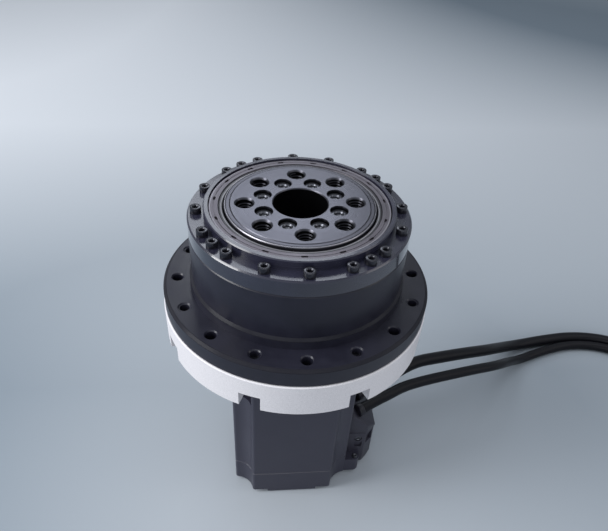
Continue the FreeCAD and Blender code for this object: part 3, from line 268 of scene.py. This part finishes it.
# ---------------------------------------------------------------- the object's finishes
RING_HEAD_H, OUTPUT_HEAD_H = 2.5, 4.0
FLANGE_TOP, COLLAR_TOP, COLLAR_STEP = 126.5, 131.7, 1.0
output_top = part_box("output_flange")[1][2]
screw_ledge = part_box("ring_screws")[1][2] - RING_HEAD_H * MM
flange_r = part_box("flange_housing")[1][0] / MM
body_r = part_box("bearing_outer_lower")[1][0] / MM

# Fine lines of painted highlight and painted shade round the axis: radius, width, color.
INNER_RING_LINES = ((30.15, 0.25, PAINTED_EDGE_HIGHLIGHT), (29.65, 0.35, PAINTED_GAP_SHADE))
RETAINER_LINES = ((36.4, 0.3, PAINTED_GAP_SHADE), (35.8, 0.22, PAINTED_EDGE_HIGHLIGHT), (32.6, 0.3, PAINTED_GAP_SHADE))
SEAL_LINES = ((31.5, 0.35, PAINTED_LIP_HIGHLIGHT),)
# Chamfers round the axis, dulled and painted with shade: outer radius, top.
HOUSING_EDGES = ((flange_r, FLANGE_TOP), (body_r + COLLAR_STEP, COLLAR_TOP))

# Numbers after the color: for metals roughness, metallic, scale of the patches and lines per millimetre,
# and for a sprayed finish roughness, the grain's size and the grain's relief in metres.
finishes = {made.name: made for made in (
    worn_metal("black_housing", (0.012, 0.012, 0.021), 0.36, 0.0, 90.0, 2.2, coat=0.08, coat_roughness=0.2,
               specular=0.34, matt_shaded_edges=HOUSING_EDGES),
    rubbed_ring("gloss_black_ring", (0.017, 0.017, 0.031), 0.24, 0.0, 70.0, 3.0, screw_ledge),
    turned_face("output_steel", (0.098, 0.098, 0.116), 0.3, 0.9, 60.0, 3.5, output_top),
    # Painted shade: the threads' steel is far darker than the plate's, as the holes lie in shade.
    worn_metal("thread_steel", (0.014, 0.014, 0.018), 0.3, 0.8, 90.0, 3.0),
    worn_metal("race_steel", (0.075, 0.074, 0.088), 0.28, 0.9, 60.0, 4.0, painted_light_lines=INNER_RING_LINES),
    worn_metal("ground_steel", (0.42, 0.42, 0.45), 0.3, 1.0, 80.0, 3.0),
    worn_metal("retainer_steel", (0.108, 0.098, 0.112), 0.34, 0.75, 80.0, 3.0, painted_light_lines=RETAINER_LINES),
    worn_metal("seal_rubber", (0.008, 0.008, 0.011), 0.35, 0.0, 80.0, 3.0, painted_light_lines=SEAL_LINES),
    sprayed("black_screws", (0.02, 0.02, 0.028), 0.26, 0.3, 0.000008, metallic=0.6, coat=0.4),
    sprayed("grey_screws", (0.10, 0.103, 0.118), 0.3, 0.3, 0.000008, metallic=0.85),
    sprayed("bright_screws", (0.5, 0.5, 0.53), 0.3, 0.3, 0.00001, metallic=1.0),
    sprayed("white_ring", (0.665, 0.645, 0.665), 0.5, 0.35, 0.00002),
    sprayed("black_motor", (0.022, 0.021, 0.037), 0.44, 0.35, 0.00002, coat=0.1),
    worn_metal("cast_aluminium", (0.55, 0.56, 0.58), 0.35, 1.0, 80.0, 2.0),
    sprayed("copper", (0.55, 0.24, 0.09), 0.3, 0.6, 0.00005, metallic=0.9),
    sprayed("magnet", (0.35, 0.35, 0.37), 0.25, 0.6, 0.00001, metallic=1.0),
    sprayed("black_plastic", (0.031, 0.030, 0.043), 0.42, 0.3, 0.00003, specular=0.35),
    sprayed("gland_plastic", (0.011, 0.0108, 0.016), 0.42, 0.3, 0.00003, specular=0.3),
    sprayed("circuit_board", (0.01, 0.12, 0.04), 0.35, 0.8, 0.00002),
    sprayed("cable_jacket", (0.0045, 0.0045, 0.0065), 0.42, 0.6, 0.00003, specular=0.16),
    sprayed("plug_white", (0.6, 0.6, 0.57), 0.4, 0.5, 0.00002),
)}

slot_of = {part["node"]: part["material_slot"] for part in frame["record"]["subparts"]}
other_finish = {"bearing_inner_ring": "race_steel"}
WELD_GAP, EDGE_ANGLE = 0.002, 32.0


def dress(node):
    """Smooth shading that keeps the part's real edges, and its finish."""
    part = nodes[node]
    weld = part.modifiers.new("weld", "WELD")
    weld.merge_threshold = WELD_GAP * MM
    split = part.modifiers.new("edges", "EDGE_SPLIT")
    split.split_angle = math.radians(EDGE_ANGLE)
    for polygon in part.data.polygons:
        polygon.use_smooth = True
    material = finishes[other_finish.get(node, slot_of[node])].material
    if not part.material_slots:
        part.data.materials.append(material)
    for slot in part.material_slots:
        slot.material = material


for node in nodes:
    dress(node)


# ---------------------------------------------------------------- modelling by hand
def only(piece):
    """Makes a piece the one that the next operator acts on."""
    bpy.ops.object.select_all(action="DESELECT")
    bpy.context.view_layer.objects.active = piece
    piece.select_set(True)


def started(primitive, **settings):
    bpy.ops.object.select_all(action="DESELECT")
    primitive(**settings)
    return bpy.context.object


def settled(piece):
    """Puts a piece's place, turn and scale into its mesh."""
    only(piece)
    bpy.ops.object.transform_apply(location=True, rotation=True, scale=True)
    return piece


def finished_with(piece, kind, **settings):
    """Adds a modifier and applies it."""
    only(piece)
    modifier = piece.modifiers.new(kind.lower(), kind)
    for key, value in settings.items():
        setattr(modifier, key, value)
    bpy.ops.object.modifier_apply(modifier=modifier.name)


def cut_out(piece, tool):
    finished_with(piece, "BOOLEAN", operation="DIFFERENCE", object=tool, solver="EXACT")
    bpy.data.objects.remove(tool)


def eased(piece, width, segments=2):
    """Rounds every edge that is sharper than 35 degrees."""
    finished_with(piece, "BEVEL", width=width * MM, segments=segments, limit_method="ANGLE",
                  angle_limit=math.radians(35), use_clamp_overlap=True)


def sliced(piece, point, normal):
    """Cuts away what stands in front of a plane and closes the cut."""
    only(piece)
    bpy.ops.object.mode_set(mode="EDIT")
    bpy.ops.mesh.select_all(action="SELECT")
    bpy.ops.mesh.bisect(plane_co=[c * MM for c in point], plane_no=normal, clear_outer=True, use_fill=True)
    bpy.ops.object.mode_set(mode="OBJECT")


def brick(x0, x1, y0, y1, z0, z1):
    middle = ((x0 + x1) / 2 * MM, (y0 + y1) / 2 * MM, (z0 + z1) / 2 * MM)
    made = started(bpy.ops.mesh.primitive_cube_add, size=1.0, location=middle)
    made.scale = ((x1 - x0) * MM, (y1 - y0) * MM, (z1 - z0) * MM)
    return settled(made)


def rod(radius, length, base, way=(0, 0, 1), sides=40):
    """A cylinder from a base point along a direction."""
    way = Vector(way).normalized()
    middle = (Vector(base) + way * length / 2) * MM
    turn = way.to_track_quat("Z", "Y").to_euler()
    return settled(started(bpy.ops.mesh.primitive_cylinder_add, vertices=sides, radius=radius * MM,
                           depth=length * MM, location=middle, rotation=turn))


def joined(name, pieces):
    only(pieces[0])
    for piece in pieces:
        piece.select_set(True)
    bpy.ops.object.join()
    pieces[0].name = name
    return pieces[0]


def at_places(name, source, places):
    """One object made of a copy of the source at each place: x, y, z and a turn about Z in radians."""
    copies = []
    for x, y, z, angle in places:
        copy = source.copy()
        copy.data = source.data.copy()
        scene.collection.objects.link(copy)
        copy.location = (x * MM, y * MM, z * MM)
        copy.rotation_euler = (0, 0, angle)
        copies.append(copy)
    bpy.data.objects.remove(source)
    return settled(joined(name, copies))


def round_the_axis(radius, z, angles):
    return [(radius * math.cos(math.radians(a)), radius * math.sin(math.radians(a)), z, math.radians(a))
            for a in angles]


def presented(piece, finish, body, stands_for=()):
    """Smooth shading, a finish, and the body that the piece rides on."""
    only(piece)
    bpy.ops.object.shade_smooth_by_angle(angle=math.radians(30))
    piece.data.materials.clear()
    piece.data.materials.append(finishes[finish].material)
    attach(piece, body)
    if stands_for:
        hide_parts(*stands_for)
    return piece


# ---------------------------------------------------------------- socket head screws
RING_SCREW_R, OUTPUT_SCREW_R = 41.5, 16.0
HEAD_EASE = 0.045                       # share of a head's diameter
MOUTH, MOUTH_RISE = 0.95, 0.25          # shares of the hexagon's width across flats


def cap_screw(thread_d, head_d, head_h, flats, length, floor=0.45):
    """A screw on the origin, its head above and its shank below, with eased edges and a hollow hexagon.

    The hexagon's floor is at a share of the head's height, and its mouth is a shallow cone."""
    screw = rod(head_d / 2, head_h, (0, 0, 0), sides=48)
    eased(screw, head_d * HEAD_EASE)
    mouth_z = head_h + MOUTH_RISE * flats - flats * (MOUTH / 2)
    mouth = started(bpy.ops.mesh.primitive_cone_add, vertices=48, radius1=0.0, radius2=flats * MOUTH * MM,
                    depth=flats * MOUTH * MM, location=(0, 0, mouth_z * MM))
    cut_out(screw, mouth)
    cut_out(screw, rod(flats / math.sqrt(3), head_h, (0, 0, head_h * floor), sides=6))
    shank = rod(thread_d / 2, length, (0, 0, -length), sides=24)
    return joined("cap_screw", [screw, shank])


ring_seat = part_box("ring_screws")[1][2] / MM - RING_HEAD_H
output_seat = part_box("output_screws")[1][2] / MM - OUTPUT_HEAD_H
ring_angles = [22.5 * i for i in range(16)] + [33.75 + 90.0 * i for i in range(4)]
hole_angles = [45.0 * i for i in range(8)]
screw_angles = [angle + 22.5 for angle in hole_angles]
ring_screw = cap_screw(thread_d=2.5, head_d=4.5, head_h=RING_HEAD_H, flats=2.0, length=22.0)
ring_heads = at_places("ring_cap_screws", ring_screw, round_the_axis(RING_SCREW_R, ring_seat, ring_angles))
presented(ring_heads, "black_screws", "base", ["ring_screws"])
output_screw = cap_screw(thread_d=4.0, head_d=7.0, head_h=OUTPUT_HEAD_H, flats=3.0, length=18.0, floor=0.75)
output_heads = at_places("output_cap_screws", output_screw,
                         round_the_axis(OUTPUT_SCREW_R, output_seat, screw_angles))
presented(output_heads, "grey_screws", "output", ["output_screws"])


# ---------------------------------------------------------------- threads in the output holes
HOLE_R, HOLE_CIRCLE_R = 3.4, 22.25
THREAD_PITCH, THREAD_DEPTH, THREAD_START = 1.25, 0.28, 1.5
THREAD_TURNS, THREAD_STEPS = 8, 32
RIDGE_SINK, RIDGE_SHARE = 0.03, 0.3     # depth in the hole's wall, and half the foot as a share of the pitch


def thread_ridge():
    """A ridge with a pointed section, wound down from the chamfer of one hole."""
    ridge = started(bpy.ops.mesh.primitive_circle_add, vertices=3, radius=1.0, fill_type="NOTHING",
                    location=(0, 0, 0))
    wall, crest, half = HOLE_R + RIDGE_SINK, HOLE_R - THREAD_DEPTH, THREAD_PITCH * RIDGE_SHARE
    for vertex, (r, z) in zip(ridge.data.vertices, ((wall, half), (crest, 0.0), (wall, -half))):
        vertex.co = (r * MM, 0, z * MM)
    finished_with(ridge, "SCREW", axis="Z", screw_offset=-THREAD_PITCH * MM, iterations=THREAD_TURNS,
                  steps=THREAD_STEPS, render_steps=THREAD_STEPS, angle=2 * math.pi, use_merge_vertices=True)
    bpy.ops.object.mode_set(mode="EDIT")
    bpy.ops.mesh.select_all(action="SELECT")
    bpy.ops.mesh.fill_holes(sides=0)
    bpy.ops.mesh.normals_make_consistent(inside=False)
    bpy.ops.object.mode_set(mode="OBJECT")
    return ridge


threads = at_places("output_threads", thread_ridge(),
                    round_the_axis(HOLE_CIRCLE_R, output_top / MM - THREAD_START, hole_angles))
presented(threads, "thread_steel", "output")


# ---------------------------------------------------------------- routes of the leads
# Each lead starts deep in the housing and, from its fourth point on, repeats its route in the part's source.
# Points are x from the housing, y and z.
BOX_X, GLAND_H = 44.5, 41.0
POWER_D, ENCODER_D = 7.2, 6.0
POWER_LIE, ENCODER_LIE = POWER_D / 2, ENCODER_D / 2
POWER_PLUG_MIDDLE, ENCODER_PLUG_MIDDLE = 6.0, 5.0
POWER_LENGTH, ENCODER_LENGTH = 299.0, 285.0


def from_housing(points):
    return [(BOX_X + x, y, z) for x, y, z in points]


POWER_ROUTE = from_housing([
    (-6.0, 3.9, GLAND_H), (1.4, 7.6, GLAND_H + 0.1), (9.0, 12.0, GLAND_H), (18.4, 18.9, 40.9),
    (31.0, 26.9, 39.6), (47.6, 33.0, 36.1), (65.7, 40.2, 31.5), (84.3, 49.3, 24.1), (100.3, 61.7, 13.2),
    (118.3, 72.5, 4.2), (140.8, 77.5, POWER_LIE), (162.6, 80.2, POWER_LIE), (184.4, 76.8, POWER_LIE),
    (201.8, 67.0, POWER_LIE), (216.2, 50.0, 4.0), (224.5, 29.5, POWER_PLUG_MIDDLE),
    (225.6, 8.5, POWER_PLUG_MIDDLE),
])
ENCODER_ROUTE = from_housing([
    (-6.6, -7.4, GLAND_H - 0.3), (1.0, -3.0, GLAND_H), (9.4, 1.3, GLAND_H), (19.1, 7.3, 40.4),
    (32.7, 13.1, 38.2), (49.4, 19.3, 35.3), (67.6, 26.4, 31.4), (86.2, 34.4, 25.8), (101.3, 46.7, 15.5),
    (115.6, 58.6, 4.0), (135.8, 67.2, ENCODER_LIE), (157.1, 72.9, ENCODER_LIE), (178.0, 71.0, ENCODER_LIE),
    (195.8, 61.9, ENCODER_LIE), (206.0, 45.5, 3.6), (209.4, 26.5, ENCODER_PLUG_MIDDLE),
    (210.0, 8.5, ENCODER_PLUG_MIDDLE),
])


def exits():
    """Where each lead leaves the housing, which way, and its diameter."""
    for route, diameter in ((POWER_ROUTE, POWER_D), (ENCODER_ROUTE, ENCODER_D)):
        start, way = Vector(route[0]), Vector(route[1]) - Vector(route[0])
        way.normalize()
        yield start, way, diameter


# ---------------------------------------------------------------- connector housing
SIDE_X, FACE_X, BULGE_X = 30.0, 46.2, 46.7          # motor's side, face of the lower part, of the upper part
HALF_W, CORNER = 14.0, 5.4
FOOT_Z, SEAM_Z, SADDLE_TOP, SEAM_GAP = 2.0, 27.6, 41.8, 0.2
# Slopes of the face: how far in or up a slope starts, and the way it looks.
TOE_INSET, TOE_WAY = 2.4, (2.4, 0, -1.4)
DRAFT_INSET, DRAFT_WAY = 0.7, (26, 0, -0.7)
BROW_RISE, BROW_WAY = 0.8, (12.0, 0, 2.9)
CROWN_INSET, CROWN_WAY = 3.6, (1, 0, 1)
# Windows in the cut corners, and beside each side screw its recess and a slot below it.
WINDOW_DEPTH, WINDOW_W, WINDOW_Z = 3.2, 5.2, (17.6, 25.4)
SIDE_SCREW_X, SIDE_SCREW_Z, SIDE_SCREW_SEAT = 37.0, 22.8, 1.5
RECESS_R, RECESS_DEPTH, SLOT_DEPTH, CLEAR = 2.0, 2.2, 1.1, 0.2
SLOT_LEFT, SLOT_RIGHT, SLOT_LOW, SLOT_HIGH = 1.4, 2.4, 7.0, 2.8
SILL_SCREW_X, SILL_SCREW_Y, SILL_SCREW_Z = 35.6, 18.2, 12.5
COLLAR_WALL, COLLAR_L, COLLAR_BACK = 0.6, 3.2, 3.0
HOLLOW_WALL, HOLLOW_L, HOLLOW_BACK = 0.4, 24.0, 2
PAST = 1                                            # how far a cutting shape stands out of the piece it cuts
LOWER_EASE, UPPER_EASE, COLLAR_EASE = 0.5, 0.6, 0.7


def corners_off(piece, face_x):
    for side in (-1, 1):
        sliced(piece, (face_x - CORNER, side * HALF_W, 0), (1, side, 0))


def lower_housing():
    x, z = SIDE_SCREW_X, SIDE_SCREW_Z
    body = brick(SIDE_X, FACE_X, -HALF_W, HALF_W, FOOT_Z, SEAM_Z)
    sliced(body, (FACE_X - TOE_INSET, 0, FOOT_Z), TOE_WAY)
    sliced(body, (FACE_X - DRAFT_INSET, 0, FOOT_Z), DRAFT_WAY)
    corners_off(body, FACE_X)
    eased(body, LOWER_EASE)
    for side in (-1, 1):
        window = brick(-WINDOW_DEPTH / 2, WINDOW_DEPTH / 2, -WINDOW_W / 2, WINDOW_W / 2, *WINDOW_Z)
        window.rotation_euler = (0, 0, side * math.pi / 4)
        window.location = ((FACE_X - CORNER / 2) * MM, side * (HALF_W - CORNER / 2) * MM, 0)
        cut_out(body, window)
        cut_out(body, rod(RECESS_R, RECESS_DEPTH, (x, side * (HALF_W + CLEAR), z), (0, -side, 0)))
        y0, y1 = sorted((side * (HALF_W - SLOT_DEPTH), side * (HALF_W + PAST)))
        cut_out(body, brick(x - SLOT_LEFT, x + SLOT_RIGHT, y0, y1, z - SLOT_LOW, z - SLOT_HIGH))
    body.name = "lower_housing"
    return body


def upper_housing():
    """The saddle that the leads come out of, hollowed along each of them."""
    body = brick(SIDE_X, BULGE_X, -HALF_W, HALF_W, SEAM_Z + SEAM_GAP, SADDLE_TOP)
    sliced(body, (BULGE_X, 0, SEAM_Z + BROW_RISE), BROW_WAY)
    sliced(body, (BULGE_X - CROWN_INSET, 0, SADDLE_TOP), CROWN_WAY)
    corners_off(body, BULGE_X)
    eased(body, UPPER_EASE)
    for start, way, diameter in exits():
        cut_out(body, rod(diameter / 2 + HOLLOW_WALL, HOLLOW_L, start - way * HOLLOW_BACK, way))
    body.name = "lead_saddle"
    return body


def side_screws():
    """A screw in each side of the housing and one standing on each end of its sill."""
    screws = []
    for side in (-1, 1):
        screw = cap_screw(thread_d=2.0, head_d=3.4, head_h=1.3, flats=1.5, length=4.0)
        screw.rotation_euler = (-side * math.pi / 2, 0, 0)
        screw.location = (SIDE_SCREW_X * MM, side * (HALF_W - SIDE_SCREW_SEAT) * MM, SIDE_SCREW_Z * MM)
        sill = cap_screw(thread_d=2.0, head_d=2.6, head_h=1.0, flats=1.2, length=4.0)
        sill.location = (SILL_SCREW_X * MM, side * SILL_SCREW_Y * MM, SILL_SCREW_Z * MM)
        screws += [screw, sill]
    return joined("housing_screws", [settled(screw) for screw in screws])


def collars():
    """A moulded collar round each lead where it leaves the housing."""
    made = []
    for start, way, diameter in exits():
        collar = rod(diameter / 2 + COLLAR_WALL, COLLAR_L, start - way * COLLAR_BACK, way)
        eased(collar, COLLAR_EASE, 3)
        made.append(collar)
    return joined("lead_collars", made)


# ---------------------------------------------------------------- plugs on the leads
LATCH_H, LATCH_HALF_W, LATCH_START = 1.8, 2.6, 2.5
SOCKET_SHARE, SOCKET_DEPTH = 0.36, 7.0          # half a socket's width as a share of the pitch
BAND_INSET, BAND_FRONT, BAND_BACK = 0.9, 6.0, 4.6
TONGUE_LOW, TONGUE_HIGH, CATCH_END, CATCH_LOW = 1.9, 0.5, 5.0, 1.2
PLUG_EASE, BAND_EASE, LATCH_EASE = 0.6, 0.3, 0.4


def moulded_plug(node, name, rows, columns):
    """A plug housing with a latch on top and a grid of sockets in its mating face."""
    low, high = (Vector(corner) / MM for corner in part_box(node))
    middle = (low + high) / 2
    body = brick(low.x, high.x, low.y, high.y, low.z, high.z - LATCH_H)
    eased(body, PLUG_EASE)
    pitch = min((high.x - low.x) / (columns + 0.5), (high.z - LATCH_H - low.z) / (rows + 0.5))
    half = pitch * SOCKET_SHARE
    sockets = [brick(x - half, x + half, low.y - PAST, low.y + SOCKET_DEPTH, z - half, z + half)
               for x in (middle.x + pitch * (c - (columns - 1) / 2) for c in range(columns))
               for z in (middle.z - LATCH_H / 2 + pitch * (r - (rows - 1) / 2) for r in range(rows))]
    for socket in sockets:
        cut_out(body, socket)
    band = brick(low.x + BAND_INSET, high.x - BAND_INSET, high.y - BAND_FRONT, high.y - BAND_BACK,
                 low.z + BAND_INSET, high.z - BAND_INSET)
    eased(band, BAND_EASE)
    left, right, front = middle.x - LATCH_HALF_W, middle.x + LATCH_HALF_W, low.y + LATCH_START
    tongue = brick(left, right, front, high.y - BAND_FRONT, high.z - TONGUE_LOW, high.z - TONGUE_HIGH)
    eased(tongue, LATCH_EASE)
    catch = brick(left, right, front, low.y + CATCH_END, high.z - CATCH_LOW, high.z)
    eased(catch, LATCH_EASE)
    return presented(joined(name, [body, band, tongue, catch]), "plug_white", "base", [node])


# ---------------------------------------------------------------- leads
def lead(name, route, diameter, length, plug):
    curve = bpy.data.curves.new(name, "CURVE")
    curve.dimensions = "3D"
    curve.bevel_depth = diameter / 2 * MM
    curve.bevel_resolution = 5
    curve.resolution_u = 10
    curve.use_fill_caps = True
    spline = curve.splines.new("NURBS")
    spline.points.add(len(route) - 1)
    for point, place in zip(spline.points, route):
        point.co = (*[c * MM for c in place], 1.0)
    spline.order_u = 3
    spline.use_endpoint_u = True
    made = bpy.data.objects.new(name, curve)
    scene.collection.objects.link(made)
    curve.materials.append(finishes["cable_jacket"].material)
    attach(made, "base")
    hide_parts(name.replace("_lead", "_cable"))
    [c * MM for c in route[0]]


power_plug = moulded_plug("power_plug", "power_plug_housing", 2, 3)
encoder_plug = moulded_plug("encoder_plug", "encoder_plug_housing", 2, 4)
presented(lower_housing(), "black_plastic", "base", ["connector_box"])
presented(upper_housing(), "black_plastic", "base", ["cable_exit_block"])
presented(side_screws(), "grey_screws", "base", ["box_screws"])
lead_collars = presented(collars(), "gland_plastic", "base", ["cable_glands"])
lead("power_lead", POWER_ROUTE, POWER_D, POWER_LENGTH, power_plug)
lead("encoder_lead", ENCODER_ROUTE, ENCODER_D, ENCODER_LENGTH, encoder_plug)


# ---------------------------------------------------------------- camera
# It stands in front of the unit and a little to the left, looks down on it and leans to one side.
# Its angles are in radians.
TURN, TILT, ROLL = math.radians(7.6), 0.7601, 0.0687
CAMERA_PLACE = (-22.49, -205.08, 289.67)
camera_data = bpy.data.cameras.new("camera")
camera_data.sensor_width = 36.0
camera_data.lens = 35.2924
camera_data.shift_y = 0.106
camera_data.clip_start = 0.01
camera = bpy.data.objects.new("camera", camera_data)
scene.collection.objects.link(camera)
scene.camera = camera
about = Matrix.Rotation(-TURN, 3, "Z")
back = about @ Vector((0, -math.cos(TILT), math.sin(TILT)))
right = about @ Vector((1, 0, 0))
up = about @ Vector((0, math.sin(TILT), math.cos(TILT)))
camera_right = math.cos(ROLL) * right + math.sin(ROLL) * up
camera_up = -math.sin(ROLL) * right + math.cos(ROLL) * up
camera_axes = Matrix((camera_right, camera_up, back)).transposed().to_4x4()
camera.matrix_world = Matrix.Translation(Vector(CAMERA_PLACE) * MM) @ camera_axes


# ---------------------------------------------------------------- floor
# Its color has painted light: it is lightest where light falls behind the unit and on its right, and in a
# painted pool of light round the unit's foot.
FLOOR_SIZE, FLOOR_Z = 8.0, -0.0002
DIM_FLOOR, LIT_FLOOR, FAR_FLOOR = (0.16, 0.195, 0.23), (0.62, 0.64, 0.67), (0.46, 0.49, 0.52)
POOL_OFFSET, POOL_SHARE = 0.04, 0.42
POOL_FROM, POOL_TO = 0.02, 0.24
DEPTH_FROM, DEPTH_TO, DEPTH_SHARES = 0.05, 0.42, (0.056, 0.753)
RIGHT_SHARE, RIGHT_FADE = 0.83, 3.15
FAR_FROM, FAR_TO = 1.05, 1.8

floor = started(bpy.ops.mesh.primitive_plane_add, size=FLOOR_SIZE, location=(0, 0, FLOOR_Z))
floor.name = "floor"
floor_finish = Finish("floor", (0.34, 0.40, 0.46), 0.9, Specular_IOR_Level=0.1)
floor_x, floor_y = floor_finish.coordinates()[:2]
pool_reach = span(floor_x + POOL_OFFSET, floor_y + POOL_OFFSET)
painted_light_pool = floor_finish.spread(pool_reach, POOL_FROM, POOL_TO, POOL_SHARE, 0.0)
depth = floor_finish.spread(floor_y, DEPTH_FROM, DEPTH_TO, *DEPTH_SHARES)
light_share = (depth + floor_x * (RIGHT_SHARE - floor_y * RIGHT_FADE) + painted_light_pool).clamped()
graded = floor_finish.mixed(light_share, DIM_FLOOR, LIT_FLOOR)
near = floor_finish.spread(span(floor_x, floor_y), FAR_FROM, FAR_TO, 1.0, 0.0)
floor_finish.set("Base Color", floor_finish.mixed(near, FAR_FLOOR, graded))
floor.data.materials.append(floor_finish.material)


# ---------------------------------------------------------------- lamps and surroundings
def lamp(name, place, aim, size, watts, color):
    data = bpy.data.lights.new(name, "AREA")
    data.shape = "RECTANGLE"
    data.size, data.size_y = size
    data.energy = watts
    data.color = color
    made = bpy.data.objects.new(name, data)
    scene.collection.objects.link(made)
    made.location = place
    made.rotation_euler = (Vector(aim) - Vector(place)).to_track_quat("-Z", "Y").to_euler()


lamp("back_softbox", (0.02, 0.80, 0.76), (0, 0, 0.15), (0.37, 0.28), 1.2, (0.86, 0.91, 1.0))
lamp("top_softbox", (0.0, 0.05, 1.35), (0, 0, 0.1), (1.7, 1.1), 7.5, (0.93, 0.96, 1.0))
lamp("left_softbox", (-0.75, -0.1, 0.55), (0, 0, 0.1), (0.35, 0.8), 8.5, (0.97, 0.98, 1.0))
lamp("right_softbox", (0.75, -0.15, 0.5), (0, 0, 0.1), (0.3, 0.8), 0.9, (1.0, 0.96, 0.95))
lamp("front_fill", (-0.1, -0.9, 0.5), (0, 0, 0.08), (0.9, 0.4), 3.0, (0.96, 0.97, 1.0))

world = bpy.data.worlds.new("studio")
scene.world = world
world.use_nodes = True
surroundings = world.node_tree.nodes["Background"]
surroundings.inputs["Color"].default_value = (0.75, 0.82, 0.90, 1.0)
surroundings.inputs["Strength"].default_value = 0.45

scene.view_settings.view_transform = "Standard"
